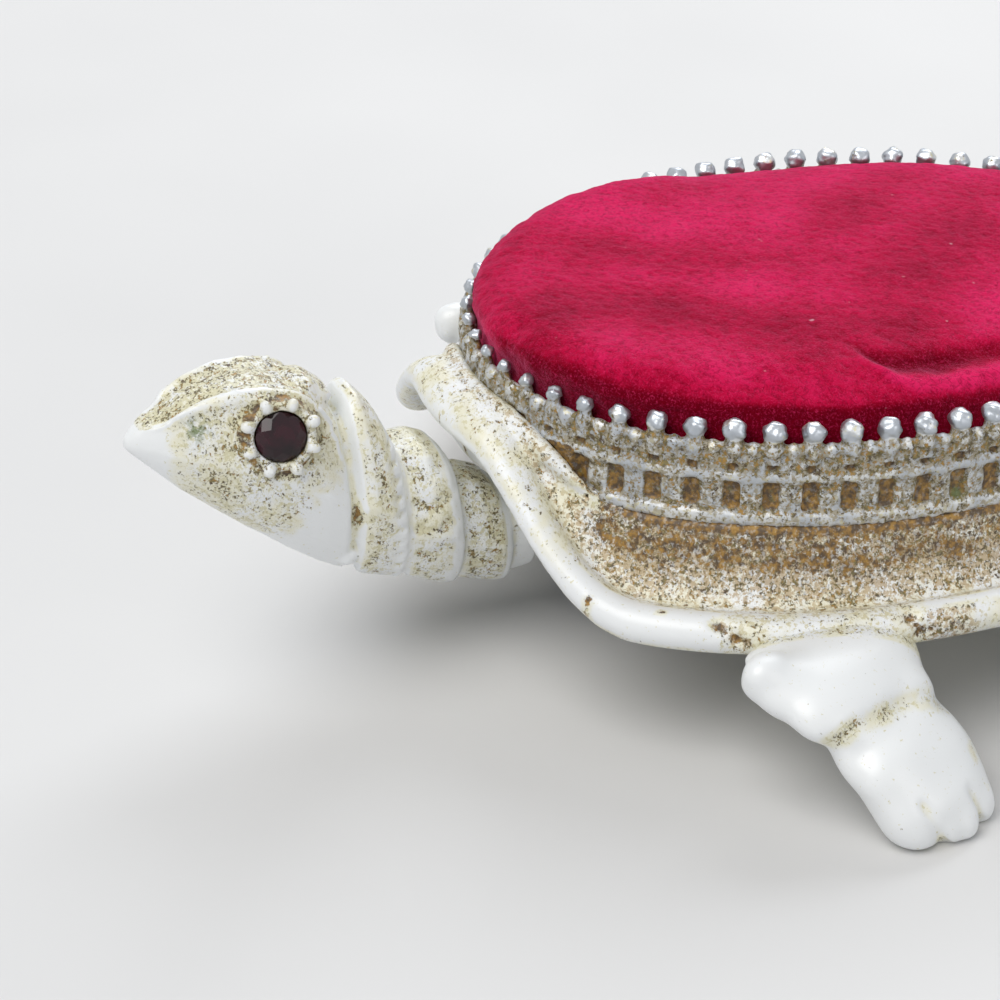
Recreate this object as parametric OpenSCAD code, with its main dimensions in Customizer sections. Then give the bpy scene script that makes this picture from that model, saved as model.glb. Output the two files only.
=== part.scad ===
// Turtle pincushion: a cast turtle with a velvet pad in a beaded gallery on its back.
// Nose towards -Y, the turtle's left side towards +X, feet on z = 0, millimetres.

/* [Cushion oval] */
// Half length of the oval that the beads stand on
oval_a = 28.5; // [27:0.25:30]
// Half width of the oval that the beads stand on
oval_b = 21.75; // [21:0.25:23]
// Number of bead prongs round the oval
prongs = 60; // [48:2:66]

/* [Shell] */
// Height of the floor that the pad sits on
floor_z = 16; // [15.6:0.1:16.4]
// Thickness of the floor
floor_t = 1.6; // [1.2:0.1:2]
// Height of the underside of the rolled rim along the sides
rim_z = 9.2; // [8.6:0.1:9.8]
// How far the middle of the rolled rim stands out from the bead oval
rim_out = 5.4; // [5:0.1:6]
// Radius of the rolled rim
rim_r = 1.4; // [1.2:0.05:1.6]
// Height of the crown of the arch over the neck
arch_z = 21.2; // [20.8:0.1:21.8]
// Height of the tail arch, as a share of the neck arch
tail_arch = 0.5; // [0.3:0.05:0.7]

/* [Gallery] */
// Height of the middle of the beads
bead_z = 23; // [22.6:0.1:23.4]
// Radius of a bead prong
bead_r = 0.78; // [0.7:0.02:0.95]
// Width of a window in the gallery
window_w = 1.25; // [0.9:0.05:1.5]
// Height of a window in the gallery
window_h = 2.3; // [1.8:0.1:2.6]

/* [Pad] */
// Height of the crown of the velvet pad
pad_z = 25.3; // [25:0.1:26.2]
// Thickness of the velvet with its pile
velvet_t = 0.9; // [0.6:0.1:1.2]

/* [Head and tail] */
// Distance from the middle of the oval to the tip of the beak
nose_reach = 55.8; // [55.8:0.1:57]
// Distance from the middle of the oval to the tip of the tail
tail_reach = 45.4; // [44:0.2:46]
// Diameter of the faceted eye stones
stone_d = 3.6; // [3.2:0.1:3.8]
// Radius of the pins that the head and the tail hang on
pin_r = 0.8; // [0.7:0.05:0.9]
// Radius of the slug that balances the head
head_slug_r = 9.1; // [8.6:0.05:9.3]

/* [Hidden] */

// The middle of the oval lies this far behind the middle of the whole length.
oval_y = (nose_reach - tail_reach) / 2;

enamel = "ivory";
old_silver = "silver";
old_brass = "darkgoldenrod";
lead_grey = "dimgray";
wine_red = "crimson";

// Shapes and places that both the shell and its neighbours need
gap = 0.1;
strip_half_t = 0.95;
seat_out = strip_half_t + gap;
shell_sections = 90;
floor_under = floor_z - floor_t;

// Pivots: the head hangs just inside the neck arch, the tail just inside the tail arch.
head_pivot = [0, -25, 11.6];
tail_pivot = [0, 23.4, 11.4];
pin_play = 0.08;
head_boss = [4.2, 2.4];
tail_boss = [2, 2];
lug_t = 1.7;
lug_play = 0.35;
lug_r = 2.2;
pin_head_r = 1.25;
pin_head_t = 0.5;
tongue_z = [7.6, 10];
tongue_half_w = 2;
head_slug_z = [2.8, 10];
head_slug_y = -13.3;
tail_slug_r = 4;
tail_slug_z = [5.4, 10.8];
tail_slug_y = 14.2;
tail_tongue_z = [8, 10];

// General functions

function mix(a, b, t) = a + (b - a) * t;
function bend(x, lo, hi) = let (t = max(0, min(1, (x - lo) / (hi - lo)))) t * t * (3 - 2 * t);
function power(x, p) = sign(x) * pow(abs(x), p);

// A point at angle u on the bead oval, moved d outwards. The front is 0 and the left side is 90.
function oval(u, d) =
    let (out = [oval_a * sin(u), -oval_b * cos(u)])
    [oval_b * sin(u), -oval_a * cos(u)] + d * out / norm(out);

function oval_heading(u) = atan2(-oval_b * cos(u), oval_a * sin(u));

// The angle of prong i, set so that the prongs stand at an even pitch along the oval.
pitch_lead = (oval_a - oval_b) / (oval_a + oval_b) / 2 * 180 / PI;
function prong_angle(i) = let (t = 360 * i / prongs) t + pitch_lead * sin(2 * t);

function oval_outline(d) = [for (i = [0 : 0.5 : prongs - 0.5]) oval(prong_angle(i), d)];

// A closed skin over a list of rings with the same number of points, with flat ends.
module loft(rings) {
    n = len(rings[0]);
    last = len(rings) - 1;
    sides = [
        for (i = [0 : last - 1], j = [0 : n - 1])
            let (a = i * n + j, b = i * n + (j + 1) % n)
            each [[a, b, a + n], [b, b + n, a + n]]
    ];
    ends = [[for (j = [n - 1 : -1 : 0]) j], [for (j = [0 : n - 1]) last * n + j]];
    polyhedron([for (r = rings) each r], concat(sides, ends), convexity = 6);
}

module at_oval() translate([0, oval_y, 0]) children();

// Shell: a dished brim with a rolled rim, raised into an arch over the neck and over the tail

function arch_share(u) =
    let (from_front = abs(u - 360 * round(u / 360)))
    max(1 - bend(from_front, 9, 41), tail_arch * (1 - bend(180 - from_front, 6, 30)));

// The rim swells out and dips a little at the four corners, where the legs stand.
function corner_share(u) = pow(sin(2 * u), 2);

// The outline of one section, as distances out from the oval and heights. First the dish,
// from the gallery's foot to the rim, then the roll, then the underside back to the floor.
function shell_profile(share, corner) =
    let (
        foot = pow(share, 1.4),
        foot_z = mix(floor_z + 0.15, arch_z - 0.9, foot),
        roll_wide = mix(rim_r, rim_r + 0.25, share),
        roll_high = mix(rim_r, rim_r - 0.1, share),
        roll_tilt = 0.3 * share,
        roll_span = mix(140, 100, share),
        roll_d = mix(rim_out + 0.6 * corner, rim_out - 2.6, share),
        roll_z = mix(rim_z + rim_r - 0.35 * corner, arch_z - 1.8, share),
        lip_d = roll_d - 0.75 * roll_wide,
        lip_z = roll_z + 0.62 * roll_high + 0.75 * roll_tilt * roll_wide
    )
    concat(
        [[seat_out, floor_z]],
        [for (t = [0 : 0.2 : 0.8]) [
            mix(seat_out, lip_d, t),
            mix(foot_z, lip_z, 1 - pow(1 - t, 2.3)) - 0.7 * sin(180 * t)
        ]],
        [for (k = [0 : 7])
            let (a = mix(140, -roll_span, k / 7), out = roll_wide * cos(a))
            [roll_d + out, roll_z + roll_high * sin(a) - roll_tilt * out]],
        [
            [mix(roll_d - 2.6, 2.35, share), mix(rim_z + 1.5, arch_z - 4.4, share)],
            [mix(roll_d - 4.2, 2.25, share), mix(rim_z + 2.7, floor_z, share)],
            [mix(0.2, 1.9, share), mix(floor_under - 1.6, floor_under + 0.7, share)],
            [mix(-0.6, 0.6, share), floor_under]
        ]
    );

function shell_ring(u) = [
    for (p = shell_profile(arch_share(u), corner_share(u))) let (q = oval(u, p[0])) [q[0], q[1], p[1]]
];

module shell_skin() {
    rings = [for (i = [0 : shell_sections - 1]) shell_ring(360 * i / shell_sections)];
    n = len(rings[0]);
    count = shell_sections * n;
    brim = [
        for (i = [0 : shell_sections - 1], j = [0 : n - 2])
            let (a = i * n + j, b = ((i + 1) % shell_sections) * n + j)
            each [[a, b, a + 1], [b, b + 1, a + 1]]
    ];
    floors = [
        for (i = [0 : shell_sections - 1])
            let (a = i * n, b = ((i + 1) % shell_sections) * n)
            each [[a, count, b], [a + n - 1, b + n - 1, count + 1]]
    ];
    middle = [[0, 0, floor_z], [0, 0, floor_under]];
    polyhedron(concat([for (r = rings) each r], middle), concat(brim, floors), convexity = 8);
}

// A pair of ears under the floor that hold a cross pin on each side of a boss
module lugs(pivot, boss_half_w) {
    for (side = [-1, 1])
        translate([side * (boss_half_w + lug_play + lug_t / 2), pivot[1], 0])
            difference() {
                union() {
                    translate([-lug_t / 2, -lug_r, pivot[2]])
                        cube([lug_t, 2 * lug_r, floor_under - pivot[2] + 0.4]);
                    translate([0, 0, pivot[2]])
                        rotate([0, 90, 0])
                            cylinder(h = lug_t, r = lug_r, center = true, $fn = 48);
                }
                translate([0, 0, pivot[2]])
                    rotate([0, 90, 0])
                        cylinder(h = 2 * lug_t, r = pin_r, center = true, $fn = 48);
            }
}

module shell_casting() color(enamel) at_oval() {
    shell_skin();
    lugs(head_pivot, head_boss[0]);
    lugs(tail_pivot, tail_boss[0]);
}

// Gallery: a strip bent round the pad, with windows, and beads on short posts along its top

strip_top = bead_z - 1.9;
window_z = floor_z + 2.2;
port_z = window_z + window_h / 2 + 1.1;

module oval_band(d_in, d_out, z_low, z_high)
    translate([0, 0, z_low])
        linear_extrude(z_high - z_low)
            difference() {
                polygon(oval_outline(d_out));
                polygon(oval_outline(d_in));
            }

module at_strip(i, d, z) {
    p = oval(prong_angle(i), d);
    translate([p[0], p[1], z]) rotate(oval_heading(prong_angle(i))) children();
}

module gallery_strip() color(old_silver) at_oval() {
    difference() {
        union() {
            oval_band(-0.4, 0.7, floor_z, strip_top);
            oval_band(-0.4, strip_half_t, floor_z, floor_z + 0.85);
            oval_band(-0.4, 0.85, window_z + window_h / 2 + 0.1, window_z + window_h / 2 + 0.55);
        }
        for (i = [0 : prongs - 1]) {
            at_strip(i, 0.75, window_z) cube([0.9, window_w, window_h], center = true);
            at_strip(i, 0.75, port_z)
                rotate([0, 90, 0]) cylinder(h = 0.8, d = 0.8, center = true, $fn = 24);
        }
    }
    for (i = [0 : prongs - 1]) {
        at_strip(i, 0.15, strip_top - 0.3) cylinder(h = bead_z - strip_top, r1 = 0.75, r2 = 0.58, $fn = 24);
        at_strip(i, 0.15, bead_z) sphere(bead_r, $fn = 24);
        at_strip(i + 0.5, 0.3, strip_top + 0.15) sphere(0.52, $fn = 24);
    }
}

// Pad: velvet drawn over stuffing and turned in under a card board

pad_points = 48;
pad_a = oval_a - 0.55;
pad_b = oval_b - 0.55;
board_t = 1.2;
board_z = floor_z + velvet_t;
turn_in = 0.72;
pad_full = 0.9;

// A ring at height z, where a share of 1 is the pad's edge. Fullness lifts its front part.
function pad_ring(share, z, full = 0) = [
    for (k = [0 : pad_points - 1])
        let (u = -360 * k / pad_points)
        [share * pad_b * sin(u), -share * pad_a * cos(u), z + full * pow(share, 3) * max(0, cos(u))]
];

// A crowned pad that lies skin deep inside the velvet's outer face, from low_z up to its crown
module pad_crown(skin, low_z) {
    edge = 1 - skin / pad_b;
    top = pad_z - skin;
    shoulder = bead_z - 1.8 - skin;
    loft(concat(
        [pad_ring(edge, low_z), pad_ring(edge, shoulder, pad_full)],
        [for (a = [30 : 30 : 60])
            pad_ring(edge - 0.05 * (1 - cos(a)), shoulder + 1.9 * sin(a), pad_full)],
        [for (t = [0.9, 0.75, 0.5, 0.25, 0.05])
            pad_ring(edge * t, mix(shoulder + 2.1, top, 1 - pow(t, 2.4)), pad_full)]
    ));
}

module velvet_cover() color(wine_red) at_oval() difference() {
    pad_crown(0, floor_z);
    pad_crown(velvet_t, board_z);
    translate([0, 0, floor_z - 1])
        linear_extrude(3) polygon([for (p = pad_ring(turn_in, 0)) [p[0], p[1]]]);
}

module cushion_stuffing() color("linen") at_oval() pad_crown(velvet_t, board_z + board_t);

module cushion_board() color("tan") at_oval()
    translate([0, 0, board_z])
        linear_extrude(board_t)
            polygon([for (p = pad_ring(1 - velvet_t / pad_b, 0)) [p[0], p[1]]]);

// Legs: cast separately and soldered under the rim, each a thigh, a crease and a paddle foot

leg_points = 24;
// Rows: reach from the root, height, slope, half width, half thickness
leg_rows = [
    [0, 10, 20, 5.4, 0.8],
    [1.8, 9.7, 24, 6.3, 1.8],
    [3.6, 9.2, 30, 6.7, 2.8],
    [5.4, 8.4, 36, 6.4, 3.3],
    [6.8, 7.6, 40, 5.6, 3.1],
    [7.8, 6.9, 43, 4.7, 2.5],
    [8.5, 6.4, 45, 4.4, 2.2],
    [9.7, 5.4, 46, 4.9, 2.6],
    [11.6, 3.8, 46, 5.2, 2.6],
    [13.4, 1.75, 42, 5, 2.55],
    [14.6, 0.85, 30, 4.3, 1.6],
    [15.2, 0.45, 20, 3.4, 1]
];

function leg_ring(row) = [
    for (k = [0 : leg_points - 1])
        let (
            a = -360 * k / leg_points,
            across = row[3] * power(cos(a), 0.85),
            up = row[4] * power(sin(a), 0.85)
        )
        [row[0] + up * sin(row[2]), across, row[1] + up * cos(row[2])]
];

// Grooves between the toes, down the front of the foot
module toe_grooves()
    for (k = [-1 : 1])
        translate([15.3, 2.1 * k, 2])
            rotate([0, -15, 0])
                cylinder(h = 5, r = 0.5, center = true, $fn = 24);

module leg_body() difference() {
    loft([for (row = leg_rows) leg_ring(row)]);
    toe_grooves();
    translate([10, -8, -4]) cube([12, 16, 4]);
}

module leg(root, heading, side, size) color(enamel) at_oval()
    mirror([side < 0 ? 1 : 0, 0, 0])
        translate([root[0], root[1], 0])
            rotate(heading)
                scale([size, size, 1])
                    leg_body();

// The right front leg is set further back than the left, in mid stride.
front_root = [22.9, -15.8];
front_heading = 23;
right_root = [22.9, -13.6];
right_heading = 12;
rear_root = [23.4, 15.2];
rear_heading = 30;
rear_size = 0.9;

module front_left_leg() leg(front_root, front_heading, 1, 1);
module front_right_leg() leg(right_root, right_heading, -1, 1);
module rear_left_leg() leg(rear_root, rear_heading, 1, rear_size);
module rear_right_leg() leg(rear_root, rear_heading, -1, rear_size);

// Pins: each passes through both lugs and is headed at both ends

module pivot_pin(pivot, boss_half_w) color(old_brass) at_oval() {
    reach = boss_half_w + lug_play + lug_t;
    translate(pivot) rotate([0, 90, 0]) {
        cylinder(h = 2 * reach, r = pin_r, center = true, $fn = 48);
        for (side = [-1, 1])
            translate([0, 0, side * (reach + pin_head_t / 2)])
                cylinder(h = pin_head_t, r = pin_head_r, center = true, $fn = 48);
    }
}

module head_pivot_pin() pivot_pin(head_pivot, head_boss[0]);
module tail_pivot_pin() pivot_pin(tail_pivot, tail_boss[0]);

// Head: beaked face, collar and two neck rings in one casting, with a tongue to the pivot

neck_points = 36;
// Rows: distance ahead of the oval's middle, half width, lowest, highest, narrowing at the top
head_rows = [
    [nose_reach, 0.3, 21, 21.7, 0.1],
    [55.1, 1, 20.3, 22.4, 0.2],
    [54, 1.8, 19.2, 23.2, 0.25],
    [52.4, 2.8, 17.6, 24, 0.3],
    [50.4, 3.7, 15.9, 24.8, 0.3],
    [48.4, 4.4, 14.2, 25.3, 0.3],
    [46.4, 4.9, 12.6, 25.3, 0.3],
    [44.4, 5.1, 11, 24.7, 0.32],
    [42.6, 5.1, 9.7, 23.5, 0.34],
    [41.1, 4.9, 8.8, 21.8, 0.36],
    [40.7, 4.3, 9, 20.6, 0.36],
    [40.5, 4.3, 8.9, 20.9, 0.36],
    [40, 5.1, 8.2, 22.4, 0.4],
    [39.3, 5.4, 7.9, 22.7, 0.4],
    [38, 5.4, 7.5, 21.2, 0.36],
    [36.9, 5.2, 7.1, 19, 0.3],
    [36.6, 4.8, 7.2, 17.8, 0.28],
    [36.2, 4.7, 6.9, 17.3, 0.25],
    [34.4, 5, 6.2, 17.4, 0.25],
    [33, 5, 5.7, 16.9, 0.25],
    [32.3, 4.8, 5.7, 16, 0.25],
    [32.1, 4.1, 5.9, 13.9, 0.2],
    [30.4, 4.3, 5.3, 13.8, 0.2],
    [29, 4.3, 4.9, 13.2, 0.2],
    [28.2, 4.1, 4.8, 12.5, 0.2],
    [28, 3.6, 5.3, 12.1, 0.1],
    [26, 3.6, 5.5, 11.9, 0.1]
];

// How far the brow ridge stands out, on the face only
function brow_at(ahead) = 0.45 * bend(ahead, 41.2, 43) * (1 - bend(ahead, 52.5, 55));

// Hollow in the underside of the head, which leaves a wall all round
hollow_rows = [
    [51, 1.2, 13.5, 21, 0.2],
    [49, 1.9, 10.5, 22.8, 0.3],
    [46.5, 2.4, 7.5, 23.6, 0.3],
    [44, 2.6, 5.5, 23, 0.3],
    [42, 2.8, 4.5, 20.4, 0.3],
    [38, 3.3, 3.5, 18.8, 0.3],
    [36.5, 3.2, 3.5, 15.4, 0.3],
    [33.6, 3.1, 3.5, 14.2, 0.2]
];

// One ring of a casting that lies along Y, wider at the jaw, with a flattish top between brows
brow_angle = 50;
function body_ring(row, heading, brow = 0) = [
    for (k = [0 : neck_points - 1])
        let (
            a = heading * 360 * k / neck_points,
            high = power(sin(a), sin(a) > 0 ? 0.6 : 0.8),
            narrow = 1 - row[4] * max(0, high) - 0.15 * max(0, -high),
            ridge = brow * exp(-pow((abs(abs(a) - 90) - 90 + brow_angle) / 9, 2)),
            wide = row[1] * power(cos(a), 0.62) * narrow
        )
        [wide + ridge * sign(cos(a)), -heading * row[0], mix(row[2], row[3], (1 + high) / 2) + 0.7 * ridge]
];

// A boss on a pivot, with a flat tongue that runs to the middle of a slug
module boss_and_tongue(pivot, boss, z_range, slug_y, half_w) {
    translate(pivot) rotate([0, 90, 0])
        cylinder(h = 2 * boss[0], r = boss[1], center = true, $fn = 64);
    y_low = min(pivot[1], slug_y);
    translate([-half_w, y_low, z_range[0]])
        cube([2 * half_w, abs(slug_y - pivot[1]), z_range[1] - z_range[0]]);
}

module pivot_bore(pivot)
    translate(pivot) rotate([0, 90, 0])
        cylinder(h = 12, r = pin_r + pin_play, center = true, $fn = 64);

// Eyes: a stone in a round recess, held by a ring of small bead prongs
eye_at = [4.35, -45.9, 22];
eye_out = 14;
eye_ahead = -12;
stone_depth = 1.5;
prong_count = 8;

module at_eye(side)
    mirror([side < 0 ? 1 : 0, 0, 0])
        translate(eye_at)
            rotate([0, 0, eye_ahead])
                rotate([0, 90 - eye_out, 0])
                    children();

module eye_seat(side) at_eye(side)
    translate([0, 0, -1.1]) cylinder(h = 3, d = stone_d + 0.1, $fn = 48);

module eye_collar(side) at_eye(side) {
    translate([0, 0, -2.4]) cylinder(h = 2.5, d1 = stone_d + 3, d2 = stone_d + 1.2, $fn = 48);
    for (i = [0 : prong_count - 1])
        rotate(360 * (i + 0.5) / prong_count)
            translate([stone_d / 2 + 0.5, 0, 0.15]) sphere(0.42, $fn = 24);
}

module head_casting() color(enamel) at_oval() {
    difference() {
        union() {
            loft([for (row = head_rows) body_ring(row, 1, brow_at(row[0]))]);
            boss_and_tongue(head_pivot, head_boss, tongue_z, head_slug_y, tongue_half_w);
            for (side = [-1, 1]) eye_collar(side);
        }
        loft([for (row = hollow_rows) body_ring(row, 1)]);
        pivot_bore(head_pivot);
        for (side = [-1, 1]) eye_seat(side);
    }
}

// A round stone with a flat table, eight crown facets and a pointed back
module eye_stone(side) color("darkred") at_oval() at_eye(side) {
    cylinder(h = stone_depth / 3, d1 = stone_d, d2 = 0.58 * stone_d, $fn = 8);
    translate([0, 0, -stone_depth * 2 / 3])
        cylinder(h = stone_depth * 2 / 3, d1 = 0.5, d2 = stone_d, $fn = 8);
}

module left_eye_stone() eye_stone(1);
module right_eye_stone() eye_stone(-1);

// A round slug with a slot that the tongue is set in
module slug(y, r, z_range, tongue_range, half_w, heading) color(lead_grey) at_oval()
    difference() {
        translate([0, y, z_range[0]]) cylinder(h = z_range[1] - z_range[0], r = r, $fn = 96);
        translate([-half_w, heading > 0 ? y - 2 * r : y, tongue_range[0]])
            cube([2 * half_w, 2 * r, tongue_range[1] - tongue_range[0]]);
    }

module head_counterweight()
    slug(head_slug_y, head_slug_r, head_slug_z, tongue_z, tongue_half_w, 1);

// Tail: a short tapered casting, hung like the head

tail_rows = [
    [tail_reach, 0.35, 5.6, 6.3, 0.1],
    [43.6, 0.8, 5.4, 7.1, 0.15],
    [41, 1.4, 5.5, 8.2, 0.2],
    [38, 2, 5.9, 9.4, 0.25],
    [35, 2.5, 6.3, 10.4, 0.28],
    [32, 2.9, 6.6, 11.2, 0.28],
    [29.5, 3, 6.8, 11.4, 0.28],
    [28, 2.6, 7.2, 11, 0.2],
    [25, 1.9, 7.6, 10.6, 0.1]
];

module tail_casting() color(enamel) at_oval() {
    difference() {
        union() {
            loft([for (row = tail_rows) body_ring(row, -1)]);
            boss_and_tongue(tail_pivot, tail_boss, tail_tongue_z, tail_slug_y, 1.2);
        }
        pivot_bore(tail_pivot);
    }
}

module tail_counterweight()
    slug(tail_slug_y, tail_slug_r, tail_slug_z, tail_tongue_z, 1.2, -1);

shell_casting();
gallery_strip();
velvet_cover();
cushion_stuffing();
cushion_board();
front_left_leg();
front_right_leg();
rear_left_leg();
rear_right_leg();
head_pivot_pin();
tail_pivot_pin();
head_casting();
left_eye_stone();
right_eye_stone();
head_counterweight();
tail_casting();
tail_counterweight();
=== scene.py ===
# %% [markdown]
# A turtle pincushion, dressed: cast white metal under antiqued white enamel, a worn silvery
# gallery with bead prongs, a crimson velvet pad and dark red faceted eyes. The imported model
# comes in first as a fixed frame, in metres. Every piece made here rides on one of its bodies.

# %% Load the frame
import itertools
from math import cos, degrees, pi, radians, sin
from types import SimpleNamespace

import bpy
import numpy as np
from mathutils import Matrix, Vector


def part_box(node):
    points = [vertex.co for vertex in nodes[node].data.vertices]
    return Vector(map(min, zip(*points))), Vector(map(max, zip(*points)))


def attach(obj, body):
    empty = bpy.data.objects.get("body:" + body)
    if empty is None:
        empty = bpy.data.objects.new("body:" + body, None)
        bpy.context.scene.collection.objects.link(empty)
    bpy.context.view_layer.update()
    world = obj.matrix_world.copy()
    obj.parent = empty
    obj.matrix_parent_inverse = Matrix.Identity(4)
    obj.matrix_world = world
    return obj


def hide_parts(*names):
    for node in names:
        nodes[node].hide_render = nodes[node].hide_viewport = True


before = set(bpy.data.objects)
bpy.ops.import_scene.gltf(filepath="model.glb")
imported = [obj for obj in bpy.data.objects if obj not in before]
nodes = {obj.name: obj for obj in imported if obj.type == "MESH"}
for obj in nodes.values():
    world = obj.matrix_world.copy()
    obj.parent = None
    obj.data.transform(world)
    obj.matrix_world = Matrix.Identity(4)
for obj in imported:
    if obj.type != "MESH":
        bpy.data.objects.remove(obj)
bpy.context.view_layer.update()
MM = 0.001

# %% [markdown]
# The camera stands close to the turtle's front left, about thirty degrees up, behind a long lens,
# so the head and the near half of the pad fill the picture. It could be aimed with a constraint,
# but a place, a line of sight and a small roll say the same in three values.

# %% Camera
camera_place = Vector((178.1, -101.6, 124.4)) * MM
line_of_sight = Vector((-0.7888, 0.3512, -0.5045))
camera_roll = radians(0.58)

camera_data = bpy.data.cameras.new("close_camera")
camera_data.lens = 110.45
camera_data.sensor_width = 36
camera_data.clip_start = 5 * MM
camera_data.clip_end = 5
camera = bpy.data.objects.new("close_camera", camera_data)
bpy.context.scene.collection.objects.link(camera)
turn = line_of_sight.to_track_quat("-Z", "Y").to_matrix().to_4x4()
camera.matrix_world = Matrix.Translation(camera_place) @ turn @ Matrix.Rotation(camera_roll, 4, "Z")
bpy.context.scene.camera = camera
print("camera looks from", [round(v, 3) for v in camera_place])

# %% [markdown]
# The oval that the beads stand on places nearly everything. Its middle and its two half widths
# come from the gallery's own box, which reaches a known distance past the oval. The helper
# outside_oval tells how far any point lies outwards from that oval, in millimetres.

# %% Measure the oval
strip_reach = 0.95
gallery_low, gallery_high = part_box("gallery_strip")
oval_half_width = (gallery_high.x - gallery_low.x) / 2 / MM - strip_reach
oval_half_length = (gallery_high.y - gallery_low.y) / 2 / MM - strip_reach
oval_y = (gallery_high.y + gallery_low.y) / 2 / MM
floor_z = gallery_low.z / MM


def outside_oval(points):
    x, y = points[:, 0], points[:, 1] - oval_y
    share = np.hypot(x / oval_half_width, y / oval_half_length)
    slope = np.hypot(x / oval_half_width**2, y / oval_half_length**2)
    return share * (share - 1) / np.maximum(slope, 1e-6)


# The angle of a point round the oval, from 0 at the front, and the point that lies so far outside
# the oval at an angle
def angle_round(x, y):
    return np.arctan2(x / oval_half_width, -(y - oval_y) / oval_half_length)


def place_round(angle, out, high):
    outward = Vector((oval_half_length * sin(angle), -oval_half_width * cos(angle), 0)).normalized()
    on_oval = Vector((oval_half_width * sin(angle), -oval_half_length * cos(angle) + oval_y, high))
    return on_oval + outward * out


print("half widths of the oval:", round(oval_half_width, 2), "and", round(oval_half_length, 2), "mm")

# %% [markdown]
# The castings are smooth by hand: a plaster master, a rubber mould, a filed edge. Their frame
# solids are lofts with flat facets. Subdivision would keep each facet's edge, so a merged copy is
# remeshed into small even squares instead and then polished, which leaves one skin that can be
# carved like wax.

# %% Helpers for copies and remeshing
def deselect_all():
    bpy.ops.object.select_all(action="DESELECT")


def make_active(piece):
    deselect_all()
    piece.select_set(True)
    bpy.context.view_layer.objects.active = piece


def edit_all(piece, *steps):
    make_active(piece)
    bpy.ops.object.mode_set(mode="EDIT")
    bpy.ops.mesh.select_all(action="SELECT")
    for step in steps:
        step()
    bpy.ops.object.mode_set(mode="OBJECT")


def apply_modifier(piece, kind, **settings):
    make_active(piece)
    modifier = piece.modifiers.new(kind.lower(), kind)
    for key, value in settings.items():
        setattr(modifier, key, value)
    bpy.ops.object.modifier_apply(modifier=modifier.name)


def merged_copy(node, name):
    piece = bpy.data.objects.new(name, nodes[node].data.copy())
    bpy.context.scene.collection.objects.link(piece)
    piece.data.materials.clear()
    edit_all(
        piece,
        lambda: bpy.ops.mesh.remove_doubles(threshold=1e-6),
        lambda: bpy.ops.mesh.customdata_custom_splitnormals_clear(),
    )
    return piece


def add_knob(place, radius, tall=1.0):
    bpy.ops.mesh.primitive_ico_sphere_add(subdivisions=2, radius=radius * MM, location=place * MM)
    bpy.context.object.scale.z = tall
    bpy.ops.object.transform_apply(location=True, rotation=False, scale=True)
    return bpy.context.object


def join_and_remesh(piece, parts, voxel):
    deselect_all()
    for part in parts:
        part.select_set(True)
    piece.select_set(True)
    bpy.context.view_layer.objects.active = piece
    bpy.ops.object.join()
    apply_modifier(piece, "REMESH", mode="VOXEL", voxel_size=voxel * MM)
    print(piece.name, "has", len(piece.data.polygons), "faces with", len(parts), "added lumps")


print("the shell starts from", len(nodes["shell_casting"].data.polygons), "loose triangles")

# %% [markdown]
# Polishing moves each point towards the middle of its neighbours, then a little more than back
# again. One pass alone would shrink the casting like wet clay. The pair takes off the facet edges
# and keeps the size. The same averaging, done many times, also tells a hollow from a ridge: in a
# hollow the averaged skin lies in front of the real one.

# %% Read and write points
def points_of(piece):
    flat = np.empty(len(piece.data.vertices) * 3)
    piece.data.vertices.foreach_get("co", flat)
    return flat.reshape(-1, 3) / MM


def normals_of(piece):
    flat = np.empty(len(piece.data.vertices) * 3)
    piece.data.vertex_normals.foreach_get("vector", flat)
    return flat.reshape(-1, 3)


def put_points(piece, points):
    piece.data.vertices.foreach_set("co", (points * MM).ravel())
    piece.data.update()


def edges_of(piece):
    flat = np.empty(len(piece.data.edges) * 2, dtype=np.int64)
    piece.data.edges.foreach_get("vertices", flat)
    return flat.reshape(-1, 2)


print("the cushion's card has", len(points_of(nodes["cushion_board"])), "points")


# %% Polishing and finding hollows
POLISH_STEPS = (0.55, -0.57)


def averaged(points, edges, rounds, steps=(1.0,)):
    count = len(points)
    near = np.bincount(edges.ravel(), minlength=count).clip(1)
    moved = points.copy()
    for _ in range(rounds):
        for step in steps:
            middle = np.empty_like(moved)
            for axis in range(3):
                ahead = np.bincount(edges[:, 0], moved[edges[:, 1], axis], count)
                behind = np.bincount(edges[:, 1], moved[edges[:, 0], axis], count)
                middle[:, axis] = (ahead + behind) / near
            moved += step * (middle - moved)
    return moved


def polish(piece, rounds):
    put_points(piece, averaged(points_of(piece), edges_of(piece), rounds, POLISH_STEPS))


# How deep each point lies in a hollow and how far it stands up on a ridge, both from 0 to 1
def hollows_and_ridges(piece, rounds, depth):
    points = points_of(piece)
    smooth = averaged(points, edges_of(piece), rounds)
    sunk = ((smooth - points) * normals_of(piece)).sum(axis=1) / depth
    return np.clip(sunk, 0, 1), np.clip(-sunk, 0, 1)


# %% [markdown]
# What happens at a point of the skin is written as an amount from 0 to 1, made of a few plain
# curves: an ease between two values, a band, a peak, or a round bump at a place. Brushes and
# masks painted by hand would do the same, but amounts in code come out the same at every run.

# %% Amounts from 0 to 1
def ease(x, low, high):
    t = np.clip((x - low) / (high - low), 0, 1)
    return t * t * (3 - 2 * t)


# 1 between full and fading, easing down to 0 at start and end
def band(x, start, full, fading, end):
    return ease(x, start, full) * (1 - ease(x, fading, end))


# 1 at the middle, down to nearly 0 two widths away
def peak(x, width, middle=0.0):
    return np.exp(-(((x - middle) / width) ** 2))


# The largest of several amounts, point by point
def most(*amounts):
    return np.maximum.reduce(amounts)


def bump_at(points, place, radius):
    return np.exp(-(((points - np.array(place)) ** 2).sum(axis=1)) / radius**2)


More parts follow.
